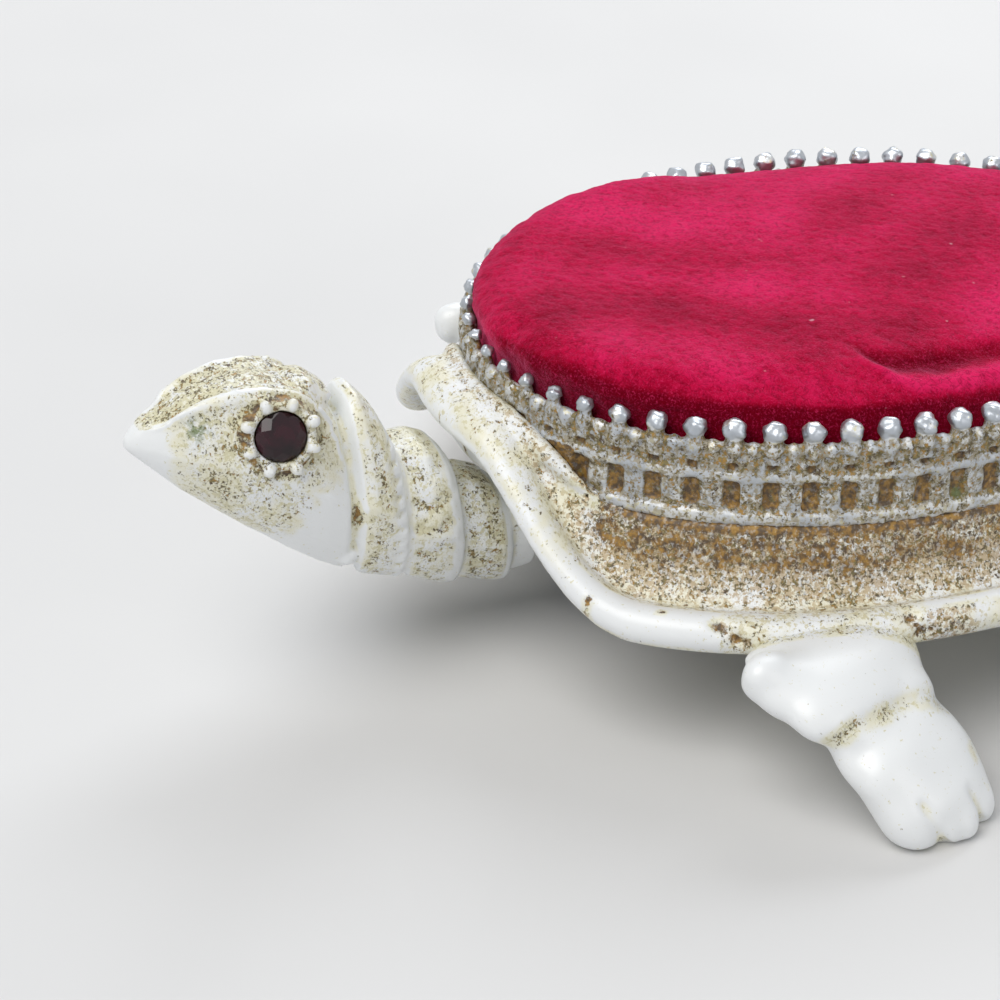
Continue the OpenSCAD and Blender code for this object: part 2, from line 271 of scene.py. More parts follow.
def set_amount(piece, name, amount):
    attribute = piece.data.attributes.new(name, "FLOAT", "POINT")
    attribute.data.foreach_set("value", np.clip(amount, 0, 1).astype(np.float32))


print("an ease runs through", ease(np.linspace(0, 1, 5), 0, 1).round(2))


# %% Moving the skin
def move_out(piece, distance):
    put_points(piece, points_of(piece) + normals_of(piece) * distance[:, None])


def soften(piece, share, rounds):
    points = points_of(piece)
    smooth = averaged(points, edges_of(piece), rounds)
    put_points(piece, points + (smooth - points) * np.reshape(share, (-1, 1)))


# Smooth irregular lumps of about the given size, between -1 and 1
def lumps(points, size_mm, seed=0.0):
    x, y, z = (points / size_mm + seed).T
    first = np.sin(x * 1.9 + 2.1 * np.sin(y * 1.3 + z)) * np.cos(z * 2.3 + 1.7 * np.sin(x * 1.1))
    second = np.sin(y * 2.7 + 1.9 * np.sin(z * 1.7 + x * 0.6)) * np.cos(x * 3.1 + y * 0.7)
    return 0.6 * first + 0.4 * second


# %% Finishing a piece
def finish_piece(piece, body, slot, material, *replaced, angle=50):
    piece.data.materials.clear()
    piece.data.materials.append(material)
    make_active(piece)
    bpy.ops.object.shade_smooth_by_angle(angle=radians(angle), keep_sharp_edges=False)
    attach(piece, body)
    if replaced:
        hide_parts(*replaced)
    print(piece.name, "is done, with", len(piece.data.vertices), "points")


# %% [markdown]
# Every finish is built from a few texture nodes that read object coordinates, so a fleck stays
# where it is when the head nods. The scales are written as the size of a fleck on the real
# object. The first helper adds a node, sets its numbers and links its inputs, and the others use
# it for the few kinds of node that are needed here.

# %% Helpers for material nodes
def add_node(tree, kind, inputs=None, **settings):
    made = tree.nodes.new(kind)
    for key, value in settings.items():
        setattr(made, key, value)
    for key, value in (inputs or {}).items():
        if isinstance(value, bpy.types.NodeSocket):
            tree.links.new(value, made.inputs[key])
        else:
            made.inputs[key].default_value = value
    return made


def new_material(name, **constants):
    material = bpy.data.materials.new(name)
    material.use_nodes = True
    tree = material.node_tree
    shader = tree.nodes["Principled BSDF"]
    for key, value in constants.items():
        shader.inputs[key.replace("_", " ")].default_value = value
    place = add_node(tree, "ShaderNodeTexCoord").outputs["Object"]
    return material, tree, shader, place


# %% Helpers for noise and numbers
def noise(tree, place, size_mm, detail, roughness, distortion=0.0):
    inputs = {
        "Vector": place, "Scale": 1 / (size_mm * MM), "Detail": detail,
        "Roughness": roughness, "Distortion": distortion,
    }
    return add_node(tree, "ShaderNodeTexNoise", inputs).outputs["Fac"]


def math(tree, operation, first, second):
    inputs = {0: first, 1: second}
    return add_node(tree, "ShaderNodeMath", inputs, operation=operation).outputs[0]


def times(tree, first, second):
    return math(tree, "MULTIPLY", first, second)


def remap(tree, value, low, high, to_low=0.0, to_high=1.0):
    inputs = {"Value": value, "From Min": low, "From Max": high, "To Min": to_low, "To Max": to_high}
    kind = "ShaderNodeMapRange"
    return add_node(tree, kind, inputs, interpolation_type="SMOOTHSTEP").outputs["Result"]


# %% Helpers for colours and bumps
def ramp(tree, value, *stops):
    made = add_node(tree, "ShaderNodeValToRGB", {"Fac": value})
    while len(made.color_ramp.elements) < len(stops):
        made.color_ramp.elements.new(0.5)
    for element, (place, colour) in zip(made.color_ramp.elements, stops):
        element.position = place
        element.color = (*colour, 1)
    return made.outputs["Color"]


def mix_colours(tree, share, first, second):
    made = add_node(tree, "ShaderNodeMix", data_type="RGBA")
    for index, value in ((0, share), (6, first), (7, second)):
        if isinstance(value, bpy.types.NodeSocket):
            tree.links.new(value, made.inputs[index])
        else:
            made.inputs[index].default_value = (*value, 1) if index else value
    return made.outputs[2]


def add_bump(tree, shader, height, depth_mm):
    inputs = {"Height": height, "Distance": depth_mm * MM, "Strength": 1.0}
    bump = add_node(tree, "ShaderNodeBump", inputs)
    tree.links.new(bump.outputs["Normal"], shader.inputs["Normal"])


# %% [markdown]
# The enamel is a thick glossy white. Over it went a brown and gold wash, which was wiped off
# while wet: it stays in hollows and breaks into flecks elsewhere. Attributes on each casting say
# where. Wash is how much was left in flecks, pool is how much lies as a clear golden glaze,
# patina is where it went green, and bare is where the gallery's metal shows. Noise is cut at a
# level that these amounts move, which gives hard little flecks like wiped paint, where a plain
# mix would give haze. Tan stain lies under the flecks, and white specks, wiped clean, lie on top.

# %% Colours of enamel, metal and wash
ENAMEL_WHITE = (0.82, 0.84, 0.85)
ENAMEL_CREAM = (0.79, 0.77, 0.62)
SILVER_GREY = (0.45, 0.48, 0.52)
SILVER_PALE = (0.66, 0.67, 0.67)
WASH_UMBER = (0.075, 0.045, 0.02)
WASH_BROWN = (0.21, 0.115, 0.025)
WASH_OLIVE = (0.19, 0.16, 0.06)
WASH_GOLD = (0.36, 0.2, 0.035)
WASH_TAN = (0.46, 0.335, 0.18)
WASH_STRAW = (0.62, 0.58, 0.36)
OLD_GLAZE = (0.3, 0.25, 0.15)
PATINA_GREEN = (0.14, 0.19, 0.06)

# Where the noise is cut for each layer: none of it up to the first level, all of it past the second
FLECK_CUT = (0.655, 0.69)
STAIN_CUT = (0.64, 0.7)
POOL_CUT = (-0.2, -0.1)
WIPED_CUT = (0.55, 0.6)
CLEAN_ROUGHNESS, PAINTED_ROUGHNESS = 0.34, 0.55
SKIN_DEPTH_MM = 0.08
print("flecks are cut from the noise between", *FLECK_CUT)


# %% Layers of the wash
def read_attribute(tree, name):
    return add_node(tree, "ShaderNodeAttribute", attribute_name=name).outputs["Fac"]


# The noises that the layers share, with the size of their flecks in millimetres
def enamel_noises(tree, place, fleck_mm):
    return SimpleNamespace(
        patches=noise(tree, place, 2.4, 3, 0.55), fine=noise(tree, place, fleck_mm, 4, 0.65),
        coarse=noise(tree, place, 0.62, 5, 0.68), stains=noise(tree, place, 0.36, 5, 0.68),
        tints=noise(tree, place, 0.5, 3, 0.6), specks=noise(tree, place, 0.33, 4, 0.62),
    )


def fleck_cover(tree, grain, amount, most_flecks):
    level = math(tree, "ADD", times(tree, grain.fine, 0.55), times(tree, grain.coarse, 0.45))
    flecks = times(tree, math(tree, "MINIMUM", amount, most_flecks), 0.23)
    return remap(tree, math(tree, "ADD", level, flecks), *FLECK_CUT)


# White that turns creamy, and takes a stain, where there is more wash
def stained_ground(tree, grain, wash, amount, white, cream, stain_colour):
    warm = times(tree, remap(tree, grain.patches, 0.35, 0.6), remap(tree, wash, 0.08, 0.3))
    ground = mix_colours(tree, warm, white, cream)
    stain = remap(tree, math(tree, "ADD", grain.stains, times(tree, amount, 0.3)), *STAIN_CUT)
    deep_stain = mix_colours(tree, remap(tree, wash, 0.36, 0.56), WASH_STRAW, stain_colour)
    return mix_colours(tree, times(tree, stain, 0.8), ground, deep_stain)


# Clear golden glaze where the wash pooled, and green patina on top
def glazed(tree, grain, pool, colour):
    level = math(tree, "ADD", times(tree, pool, 0.5), times(tree, grain.coarse, -1))
    pooled = remap(tree, level, *POOL_CUT)
    stops = ((0.42, WASH_UMBER), (0.53, WASH_BROWN), (0.66, WASH_GOLD), (0.78, WASH_TAN))
    colour = mix_colours(tree, pooled, colour, ramp(tree, grain.tints, *stops))
    patina = times(tree, read_attribute(tree, "patina"), remap(tree, grain.coarse, 0.4, 0.55))
    return pooled, mix_colours(tree, patina, colour, PATINA_GREEN)


def wiped_specks(tree, grain, wash, pool, most_wiped):
    wiped = remap(tree, grain.specks, *WIPED_CUT)
    wiped = times(tree, wiped, remap(tree, wash, 0.45, 0.7, 0.0, most_wiped))
    return times(tree, wiped, remap(tree, pool, 0.3, 0.9, 1.0, 0.25))


# %% Antiqued enamel
def washed_enamel(
    name, white, cream, stain_colour, gloss, metal=0.0, fleck_mm=0.24, most_flecks=0.6, most_wiped=0.0
):
    material, tree, shader, place = new_material(name, Coat_Weight=gloss, Coat_Roughness=0.34)
    wash, pool = read_attribute(tree, "wash"), read_attribute(tree, "pool")
    grain = enamel_noises(tree, place, fleck_mm)
    amount = times(tree, wash, remap(tree, grain.patches, 0.3, 0.7, 0.8, 1.15))
    cover = fleck_cover(tree, grain, amount, most_flecks)
    ground = stained_ground(tree, grain, wash, amount, white, cream, stain_colour)
    paint = ramp(tree, grain.tints, (0.36, WASH_UMBER), (0.5, WASH_OLIVE), (0.62, WASH_GOLD))
    pooled, colour = glazed(tree, grain, pool, mix_colours(tree, cover, ground, paint))
    wiped = wiped_specks(tree, grain, wash, pool, most_wiped)
    tree.links.new(mix_colours(tree, wiped, colour, white), shader.inputs["Base Color"])
    painted = math(tree, "MAXIMUM", cover, pooled)
    roughness = remap(tree, painted, 0, 1, CLEAN_ROUGHNESS, PAINTED_ROUGHNESS)
    tree.links.new(roughness, shader.inputs["Roughness"])
    if metal:
        bare = times(tree, read_attribute(tree, "bare"), remap(tree, painted, 0, 1, metal, 0))
        tree.links.new(bare, shader.inputs["Metallic"])
    rough_skin = times(tree, grain.fine, remap(tree, wash, 0.05, 0.6, 0.1, 1.0))
    add_bump(tree, shader, math(tree, "ADD", times(tree, painted, -0.5), rough_skin), SKIN_DEPTH_MM)
    return material


dish_enamel = washed_enamel("dish_enamel", ENAMEL_WHITE, ENAMEL_CREAM, WASH_TAN, 0.2, most_wiped=0.85)
body_enamel = washed_enamel("body_enamel", ENAMEL_WHITE, ENAMEL_CREAM, WASH_STRAW, 0.4, fleck_mm=0.19)
silver = washed_enamel(
    "worn_silver", SILVER_GREY, SILVER_PALE, OLD_GLAZE, 0.2, metal=0.95, most_flecks=0.8, most_wiped=0.7
)
print("made", dish_enamel.name, body_enamel.name, "and", silver.name)

# %% [markdown]
# The shell is one casting: the floor under the pad, a dished brim, a rolled rim and two arches.
# The lugs under the floor come along in the same copy. Small pits are left at both ends of the
# seams where the legs were soldered on, and under both arches a soft ledge of solder runs along
# the gallery's foot. It is a row of overlapping balls, joined in before the remesh.

# %% Seams and solder pits
LEGS = ("front_left_leg", "front_right_leg", "rear_left_leg", "rear_right_leg")


# Where a leg's root meets the rim, as an angle round the oval
def root_angle(leg):
    corners = np.array([v.co for v in nodes[leg].data.vertices]) / MM
    root = corners[corners[:, 2] > 8.5]
    middle = (root.min(axis=0) + root.max(axis=0)) / 2
    return float(angle_round(middle[0], middle[1]))


# Each leg is soldered on along a seam, with pits in the solder at both ends: degrees from the middle
# of the root, millimetres outside the oval, height and size
SOLDER_PITS = (
    (-13.1, 6.7, 11.4, 0.5), (-12.3, 6.9, 11.1, 0.32), (-10.8, 7.2, 10.6, 0.55), (-9.7, 7.3, 10.4, 0.34),
    (8.6, 6.4, 11.6, 0.52), (9.2, 6.7, 11.1, 0.3), (9.8, 6.9, 10.5, 0.58), (11.0, 6.7, 10.6, 0.3),
)
SEAM_REACH = (-14.0, -12.0, 9.2, 11.2)


# The point so far outside the oval whose angle_round is the wanted angle
def place_seen_at(angle, out, high):
    guess = angle
    for _ in range(5):
        place = place_round(guess, out, high)
        guess += angle - float(angle_round(place.x, place.y))
    return place


def solder_pits():
    for leg in LEGS:
        middle = root_angle(leg)
        side = 1 if middle > 0 else -1
        for turn, out, high, size in SOLDER_PITS:
            yield place_seen_at(middle + side * radians(turn), out, high), size


print("the shell has", len(list(solder_pits())), "solder pits")


# %% Ledge
# The foot of the dish follows the gallery and climbs with the arches. The balls follow its height
# there and get smaller towards the sides.
def ledge_knobs(piece):
    points = points_of(piece)
    at_foot = points[(np.abs(outside_oval(points) - 1.05) < 0.04) & (points[:, 2] > floor_z + 0.1)]
    angles = angle_round(at_foot[:, 0], at_foot[:, 1])
    order = np.argsort(angles)
    angles, heights = angles[order], at_foot[order, 2]
    for angle in np.linspace(-pi, pi, 300, endpoint=False):
        height = float(np.interp(angle, angles, heights, period=2 * pi))
        from_end = degrees(min(abs(angle), pi - abs(angle)))
        taper = float(1 - ease(from_end, 20, 35))
        if taper > 0.03:
            radius = 0.1 + 0.62 * taper
            yield add_knob(place_round(float(angle), 1.2, height + 0.3 * taper - 0.15), radius)


# %% Shape the shell
SHELL_VOXEL = 0.33
RIM_START = (3.6, 4.6)
RIM_SWELL = 0.13


def shape_shell():
    piece = merged_copy("shell_casting", "shell_enamel")
    join_and_remesh(piece, list(ledge_knobs(piece)), SHELL_VOXEL)
    polish(piece, 10)
    rim = ease(outside_oval(points_of(piece)), *RIM_START)
    soften(piece, 0.85 * rim, 8)
    move_out(piece, RIM_SWELL * rim)
    return piece


shell = shape_shell()

# %% [markdown]
# The wash was poured into the dish and wiped off the roll, so it is deepest at the gallery's
# foot, breaks up across the dish and is nearly gone on the rim. It also stays in the pits, along
# the seams, in a few round spots and in every small hollow. Each of these gives every point an
# amount from 0 to 1, and the largest one counts.

# %% Zones of the shell
# Where the front arch ends, in degrees, and where the dish starts and ends, in millimetres outside
# the oval
ARCH_END = (22, 42)
DISH_START = (0.2, 0.8)
DISH_END = (4.3, 5.2)
LIP_PLACE = 4.85
PIT_DEPTH = 0.55
MM_PER_DEGREE = 0.42


def shell_zones(piece):
    points, normals = points_of(piece), normals_of(piece)
    out, angle = outside_oval(points), angle_round(points[:, 0], points[:, 1])
    from_front = np.degrees(np.abs(angle))
    facing_up = ease(normals[:, 2], 0.0, 0.45)
    arch = 1 - ease(from_front, *ARCH_END)
    dish = facing_up * ease(out, *DISH_START) * (1 - ease(out, *DISH_END))
    return SimpleNamespace(
        points=points, facing_down=-normals[:, 2], facing_up=facing_up,
        out=out, angle=angle, from_front=from_front, arch=arch, dish=dish,
    )


shell_at = shell_zones(shell)
print("the dish covers", round(100 * float((shell_at.dish > 0.5).mean())), "% of the shell")


# %% Pits, seams and spots
def pit_amounts(points):
    pits = np.zeros(len(points))
    for place, size in solder_pits():
        pits = np.maximum(pits, bump_at(points, place, size + 0.1 * lumps(points, 0.3)))
    return pits


# Wash along each leg's seam, and a broader smear past its rear end
def seam_amounts(at):
    seam, smear = np.zeros(len(at.out)), np.zeros(len(at.out))
    for leg in LEGS:
        side = 1 if root_angle(leg) > 0 else -1
        past = np.degrees(at.angle * side - abs(root_angle(leg)))
        seam = np.maximum(seam, band(past, *SEAM_REACH) * ease(at.out, 4.0, 4.6))
        smear = np.maximum(smear, band(past, 9, 11, 11, 26) * ease(at.out, 5.5, 6.3))
    return seam, smear


# Round spots of wash stay on the arches and the roll: degrees round the oval, millimetres outside
# it, and size
def brim_spots():
    yield from ((13.3, 2.5, 0.34), (23.7, 3.9, 0.38), (1.9, 2.2, 0.3), (33.8, 4.8, 0.24), (38.2, 6.7, 0.3))
    draw = np.random.default_rng(5)
    for _ in range(40):
        yield draw.uniform(-180, 180), draw.uniform(2.2, 6.4), draw.uniform(0.12, 0.28)


def spot_amounts(at):
    spots = np.zeros(len(at.out))
    for turn, beyond, size in brim_spots():
        away = np.hypot((np.degrees(at.angle) - turn) * MM_PER_DEGREE, at.out - beyond)
        spots = np.maximum(spots, peak(away, size))
    return spots


# %% Wash on the shell
def shell_amounts(piece, at, pits):
    seam, smear = seam_amounts(at)
    spots = spot_amounts(at)
    cloud = 0.25 * lumps(at.points, 2.2, 6.0)
    wash = at.dish * (0.94 - 0.54 * ease(at.out + cloud, 1.6, 3.7))
    on_arch = 0.34 * at.arch * at.facing_up * (1 - 0.35 * ease(at.out, 3.2, 4.5))
    lip = peak(at.out, 0.28, LIP_PLACE) * at.facing_up * (1 - at.arch)
    underside = ease(at.facing_down, 0.2, 0.8)
    sunk = hollows_and_ridges(piece, 12, 0.25)[0]
    wash = most(
        wash * (1 - at.arch) + on_arch, 0.55 * lip, pits, 0.36 * seam, 0.56 * smear, 0.6 * spots,
        0.32 * underside, 0.5 * sunk,
    )
    foot = 1.05 * at.dish * (1 - ease(at.out + 1.4 * cloud, 1.3, 3.0)) * (1 - at.arch)
    corner = 0.82 * band(at.from_front, 26, 34, 52, 62) * at.dish * (1 - ease(at.out + cloud, 1.7, 2.9))
    ledge = at.arch * band(at.out, 0.9, 1.1, 1.9, 2.3) * ease(at.points[:, 2] - floor_z, 0.8, 1.6)
    return most(wash + 0.06, 0.5 * ledge), most(foot, corner, 1.1 * pits, 0.8 * spots)


def dress_shell(piece, at):
    move_out(piece, at.dish * (1 - at.arch) * 0.06 * lumps(at.points, 1.0))
    pits = pit_amounts(at.points)
    move_out(piece, -PIT_DEPTH * pits)
    wash, pool = shell_amounts(piece, at, pits)
    set_amount(piece, "wash", wash)
    set_amount(piece, "pool", pool)
    finish_piece(piece, "shell", "white_enamel", dish_enamel, "shell_casting")
    print("more than a third of full wash on", round(100 * float((wash > 1 / 3).mean())), "% of it")


dress_shell(shell, shell_at)

# %% [markdown]
# The gallery is a cast strip bent round the pad, with a row of windows, a row of small ports and
# a bead on every post. Knobs are joined on under the beads and between them, where the casting is
# fuller than its frame, and the beads are shrunk towards the front. Each one is a little
# different, as hand finished castings are, so slow waves of noise move the skin, by a tenth of a
# millimetre on the strip and twice that on the beads.

# %% Places of the posts
# The lead shifts even steps round the oval so that the posts stand at an even pitch along it
POSTS = 60
POST_LEAD = (oval_half_length - oval_half_width) / (oval_half_length + oval_half_width) / 2
POST_PITCH = pi * (oval_half_width + oval_half_length) / POSTS


def post_places(shift, out, high):
    for i in range(POSTS):
        even = 2 * pi * (i + shift) / POSTS
        yield place_round(even + POST_LEAD * sin(2 * even), out, floor_z + high)


# How far along the strip a point lies from the nearest post, in millimetres
def from_post(points):
    angle = angle_round(points[:, 0], points[:, 1])
    count = (angle - POST_LEAD * np.sin(2 * angle)) / (2 * pi) * POSTS
    return np.abs(count - np.round(count)) * POST_PITCH


print("a post every", round(POST_PITCH, 2), "mm")


# %% Smaller beads towards the front
# Height of the beads' middles above the shell's floor
BEAD_HEIGHT = 7.15


# How large a bead is, from about a half at the front to 1
def bead_share(place):
    from_front = degrees(abs(float(angle_round(place.x, place.y))))
    return float(0.52 + 0.48 * ease(from_front, 5, 58))


def shrink_beads(piece):
    points = points_of(piece)
    for place in post_places(0, 0.05, BEAD_HEIGHT):
        if bead_share(place) < 0.99:
            away = points - np.array(place)
            near = np.exp(-((np.linalg.norm(away, axis=1) / 1.5) ** 4))
            points -= (1 - bead_share(place)) * near[:, None] * away
    put_points(piece, points)


# %% Shape the gallery
# Voxel of the smaller castings, and the heights of the knobs above the shell's floor
FINE_VOXEL = 0.2
UNDER_BEADS, BETWEEN_BEADS = 5.85, 5.75


def shape_gallery():
    piece = merged_copy("gallery_strip", "gallery_silver")
    knobs = [add_knob(place, 0.4 + 0.42 * bead_share(place)) for place in post_places(0, 0.3, UNDER_BEADS)]
    knobs += [add_knob(place, 0.58, 0.95) for place in post_places(0.5, 0.35, BETWEEN_BEADS)]
    join_and_remesh(piece, knobs, FINE_VOXEL)
    polish(piece, 2)
    points = points_of(piece)
    high = points[:, 2] - floor_z
    bead = ease(high, 6.3, 6.9)
    waves = (0.05 + 0.1 * bead) * lumps(points, 0.5)
    move_out(piece, 0.08 * bead + waves + 0.04 * lumps(points, 1.3, 4.0))
    shrink_beads(piece)
    return piece, high, bead


gallery, strip_height, on_beads = shape_gallery()

# %% [markdown]
# The gallery was enamelled thinly and has worn to the silvery metal on its beads and ridges. Wash
# fills the windows and ports, lies at the foot and is rubbed off what stands proud. One window on
# the left went green, and glaze has puddled low on the strip on both sides of the front.

# %% Wash on the gallery
GREEN_WINDOW = radians(84.8)


def dress_gallery(piece, high, bead):
    points = points_of(piece)
    sunk, proud = hollows_and_ridges(piece, 10, 0.16)
    from_front = np.degrees(np.abs(angle_round(points[:, 0], points[:, 1])))
    window = (1 - ease(outside_oval(points), 0.35, 0.66)) * band(high, 0.9, 1.2, 4.4, 4.8)
    port = peak(from_post(points), 0.62) * peak(high, 0.55, 4.6)
    puddle = band(from_front, 13, 17, 25, 31) * band(high, 1.0, 1.6, 3.6, 4.2)
    strip = 0.66 + 0.5 * sunk + 0.45 * window + 0.14 * ease(high, 3.6, 4.4) * (1 - bead)
    strip = most(strip, 0.85 * (1 - ease(high, 0.0, 0.3)), 0.95 * port)
    on_bead = 0.14 + 0.55 * ease(lumps(points, 1.1, 9.0), 0.0, 0.5) + 0.5 * sunk
    set_amount(piece, "wash", strip * (1 - bead) + bead * on_bead - 0.35 * proud)
    pool = most(0.7 * window, 0.62 * port, 0.85 * puddle)
    set_amount(piece, "pool", pool + 0.45 * sunk * (1 - bead))
    green_place = place_round(GREEN_WINDOW, 0.3, floor_z + 1.4)
    set_amount(piece, "patina", 0.9 * bump_at(points, green_place, 0.55))
    set_amount(piece, "bare", 0.12 + 0.5 * bead + 0.3 * proud)
    finish_piece(piece, "shell", "old_silver", silver, "gallery_strip")


dress_gallery(gallery, strip_height, on_beads)

# %% [markdown]
# The legs were cast on their own and soldered under the rim. The frame has plain lofts. Egg
# shaped lumps joined onto a loft give the thigh, the heel and the toes, and the remesh blends
# them. Soft grooves are then pressed in between the toes and at the crease between thigh and
# foot. All is measured along the leg and across it, so one list serves four legs.

# %% Lumps and grooves of a leg
# Rounded lumps on a leg: how far along from the root's middle, how far away from the head and how
# high, the half sizes along, across and through, and the slope down in degrees
LEG_LUMPS = (
    (0.5, -1.6, 9.1, (2.4, 5.7, 1.9), 20),
    (0.7, -4.6, 9.5, (2.7, 3.5, 2.0), 22),
    (-0.6, -7.3, 10.1, (1.4, 1.1, 1.3), 0),
    (-0.5, -6.5, 11.0, (1.5, 2.1, 1.4), 0),
    (3.0, -1.3, 8.7, (4.0, 6.3, 2.3), 30),
    (5.0, 1.7, 7.6, (2.8, 2.7, 1.9), 42),
    (5.6, -4.3, 5.5, (2.8, 1.25, 1.25), 45),
    (7.4, -1.3, 4.7, (3.2, 4.2, 2.2), 45),
    (9.4, 0.3, 2.5, (2.9, 4.7, 2.3), 42),
    (9.2, -2.8, 1.8, (2.3, 2.0, 1.6), 40),
    (10.4, -0.9, 1.6, (2.4, 1.2, 1.5), 40),
    (10.9, 0.6, 1.6, (2.4, 1.4, 1.5), 40),
    (10.4, 2.9, 1.6, (2.4, 1.7, 1.6), 40),
)
# The grooves between the toes and the crease between thigh and foot, in the same measures: both
# ends, width and depth
TOE_GROOVES = (
    ((10.3, -3.1, 4.4), (11.7, -1.3, 0.0), 0.42, 0.55),
    ((11.0, 1.1, 3.9), (12.3, 2.2, 0.0), 0.42, 0.55),
)
CREASE = ((5.1, -6.0, 7.5), (5.8, -4.3, 8.5), (6.3, -0.6, 8.5), (6.7, 2.1, 8.3), (6.9, 4.0, 7.0))
FRONT_REACH = 9.7
print(len(LEG_LUMPS), "lumps and", len(TOE_GROOVES), "toe grooves on each leg")


# %% A leg's own directions
# For a leg: its root, the way to its foot, the way from the head, and its size
def leg_frame(node):
    corners = np.array([v.co for v in nodes[node].data.vertices]) / MM
    top, sole = corners[corners[:, 2] > 9], corners[corners[:, 2] < 1.2]
    root, foot = (Vector((part.min(axis=0) + part.max(axis=0)) / 2) for part in (top, sole))
    along = Vector((foot.x - root.x, foot.y - root.y, 0))
    size = along.length / FRONT_REACH
    along.normalize()
    across = Vector((-along.y, along.x, 0)) * (1 if along.x > 0 else -1)
    return Vector((root.x, root.y, 0)), along, across, size


def in_leg_frame(points, node):
    root, along, across, size = leg_frame(node)
    flat = (points - np.array(root)) / size
    return np.column_stack((flat @ np.array(along), flat @ np.array(across), points[:, 2]))


def add_lump(node, ahead, aside, high, half_sizes, slope):
    root, along, across, size = leg_frame(node)
    bpy.ops.mesh.primitive_uv_sphere_add(segments=32, ring_count=16, radius=MM)
    lump = bpy.context.object
    down = along * cos(radians(slope)) - Vector((0, 0, sin(radians(slope))))
    turn = Matrix((down, across, across.cross(down))).transposed().to_4x4()
    place = root + (along * ahead + across * aside) * size + Vector((0, 0, high))
    halves = Matrix.Diagonal((*(half * size for half in half_sizes), 1))
    lump.data.transform(Matrix.Translation(place * MM) @ turn @ halves)
    return lump


print("the left front leg has size", round(leg_frame("front_left_leg")[3], 3))


# %% Shape the legs
# How far points lie from a straight piece of line, and at which share of its length
def from_line(points, start, end):
    start, end = np.array(start), np.array(end)
    share = ((points - start) @ (end - start) / ((end - start) @ (end - start))).clip(0, 1)
    return np.linalg.norm(points - start - share[:, None] * (end - start), axis=1), share


def groove_amounts(local):
    toes, crease = np.zeros(len(local)), np.zeros(len(local))
    for start, end, width, depth in TOE_GROOVES:
        away, share = from_line(local, start, end)
        toes = np.maximum(toes, depth * peak(away, width) * ease(share, 0, 0.35))
    for start, end in zip(CREASE, CREASE[1:]):
        crease = np.maximum(crease, peak(from_line(local, start, end)[0], 0.8))
    return toes, crease


def shape_leg(node):
    piece = merged_copy(node, node + "_enamel")
    join_and_remesh(piece, [add_lump(node, *lump) for lump in LEG_LUMPS], FINE_VOXEL)
    soften(piece, 0.9, 30)
    toes, crease = groove_amounts(in_leg_frame(points_of(piece), node))
    move_out(piece, -toes - 0.3 * crease)
    soften(piece, 0.5, 2)
    points = points_of(piece)
    points[:, 2] = np.maximum(points[:, 2], 0)
    put_points(piece, points)
    return piece, toes, crease


shaped_legs = {leg: shape_leg(leg) for leg in LEGS}

# %% [markdown]
# Thigh and foot are smooth and glossy. The wash only stayed in the crease between them, between
# the toes, where the thigh meets the shell and underneath.

# %% Wash on the legs
def dress_leg(node, piece, toes, crease):
    points = points_of(piece)
    local, normals = in_leg_frame(points, node), normals_of(piece)
    root_band = (1 - ease(outside_oval(points), 7.4, 8.3)) * ease(points[:, 2], 8.0, 9.0)
    far_edge = ease(local[:, 1], 2.6, 3.6) * ease(local[:, 0], 7, 9)
    broken = ease(lumps(points, 1.5, 2.0), -0.6, 0.5)
    wash = 0.04 + crease * (0.3 + 0.22 * broken) + 0.46 * root_band
    underside = 0.22 * ease(-normals[:, 2], 0.3, 0.9)
    set_amount(piece, "wash", most(wash, 1.1 * toes, 0.32 * far_edge * broken, underside))
    set_amount(piece, "pool", 0.5 * toes)
    finish_piece(piece, "shell", "white_enamel", body_enamel, node)


for leg, shaped in shaped_legs.items():
    dress_leg(leg, *shaped)

# %% [markdown]
# The head is one casting from the beak to the last neck ring. A brow line runs round its flat
# top on each side, the crown ends in a cross ridge at the back, and small prongs hold each eye
# stone. All of these are rows of small knobs, set on the skin and joined in before the remesh,
# which is easier to place than edges pulled out of a mesh.

# %% Brow lines
# How far ahead of the oval's middle the brow line runs, how far out and how high
BROW = (
    (53.8, 1.1, 22.8), (52.1, 1.75, 23.75), (50.3, 2.05, 24.5), (48.4, 2.4, 25.0), (46.5, 2.6, 25.1),
    (44.6, 2.8, 24.8), (43.0, 3.1, 23.9), (41.9, 3.5, 22.4), (41.3, 4.0, 20.8), (41.1, 4.4, 19.0),
)


def brow_knobs(piece, side):
    for start, end in zip(np.array(BROW), np.array(BROW)[1:]):
        for step in range(10):
            ahead, out, high = (start + (end - start) * step / 10).tolist()
            along = min(BROW[0][0] - ahead, 1.6 * (high - BROW[-1][2]), 3) / 3
            place = Vector((side * out, oval_y - ahead, high))
            on_skin = piece.closest_point_on_mesh(place * MM)[1] / MM
            yield add_knob(on_skin, 0.12 + 0.17 * along)


def from_brow(points):
    mirrored = np.column_stack((np.abs(points[:, 0]), points[:, 1:]))
    places = [(out, oval_y - ahead, high) for ahead, out, high in BROW]
    return np.min([from_line(mirrored, *ends)[0] for ends in zip(places, places[1:])], axis=0)


print("a brow line has", len(BROW), "corners")


# %% Back of the crown and seats of the eyes
# The cross ridge at the back of the crown, and the joint of cheeks and collar at the throat
def back_knobs():
    for across in (-1.2, -0.6, 0, 0.6, 1.2):
        yield add_knob(Vector((across, oval_y - 42.8, 23.9 - 0.1 * across**2)), 0.75)
        yield add_knob(Vector((across, oval_y - 41.8, 22.95 - 0.1 * across**2)), 0.8)
    for across in (-3.2, -1.6, 0, 1.6, 3.2):
        yield add_knob(Vector((across, oval_y - 40.8, 10.8)), 0.85)


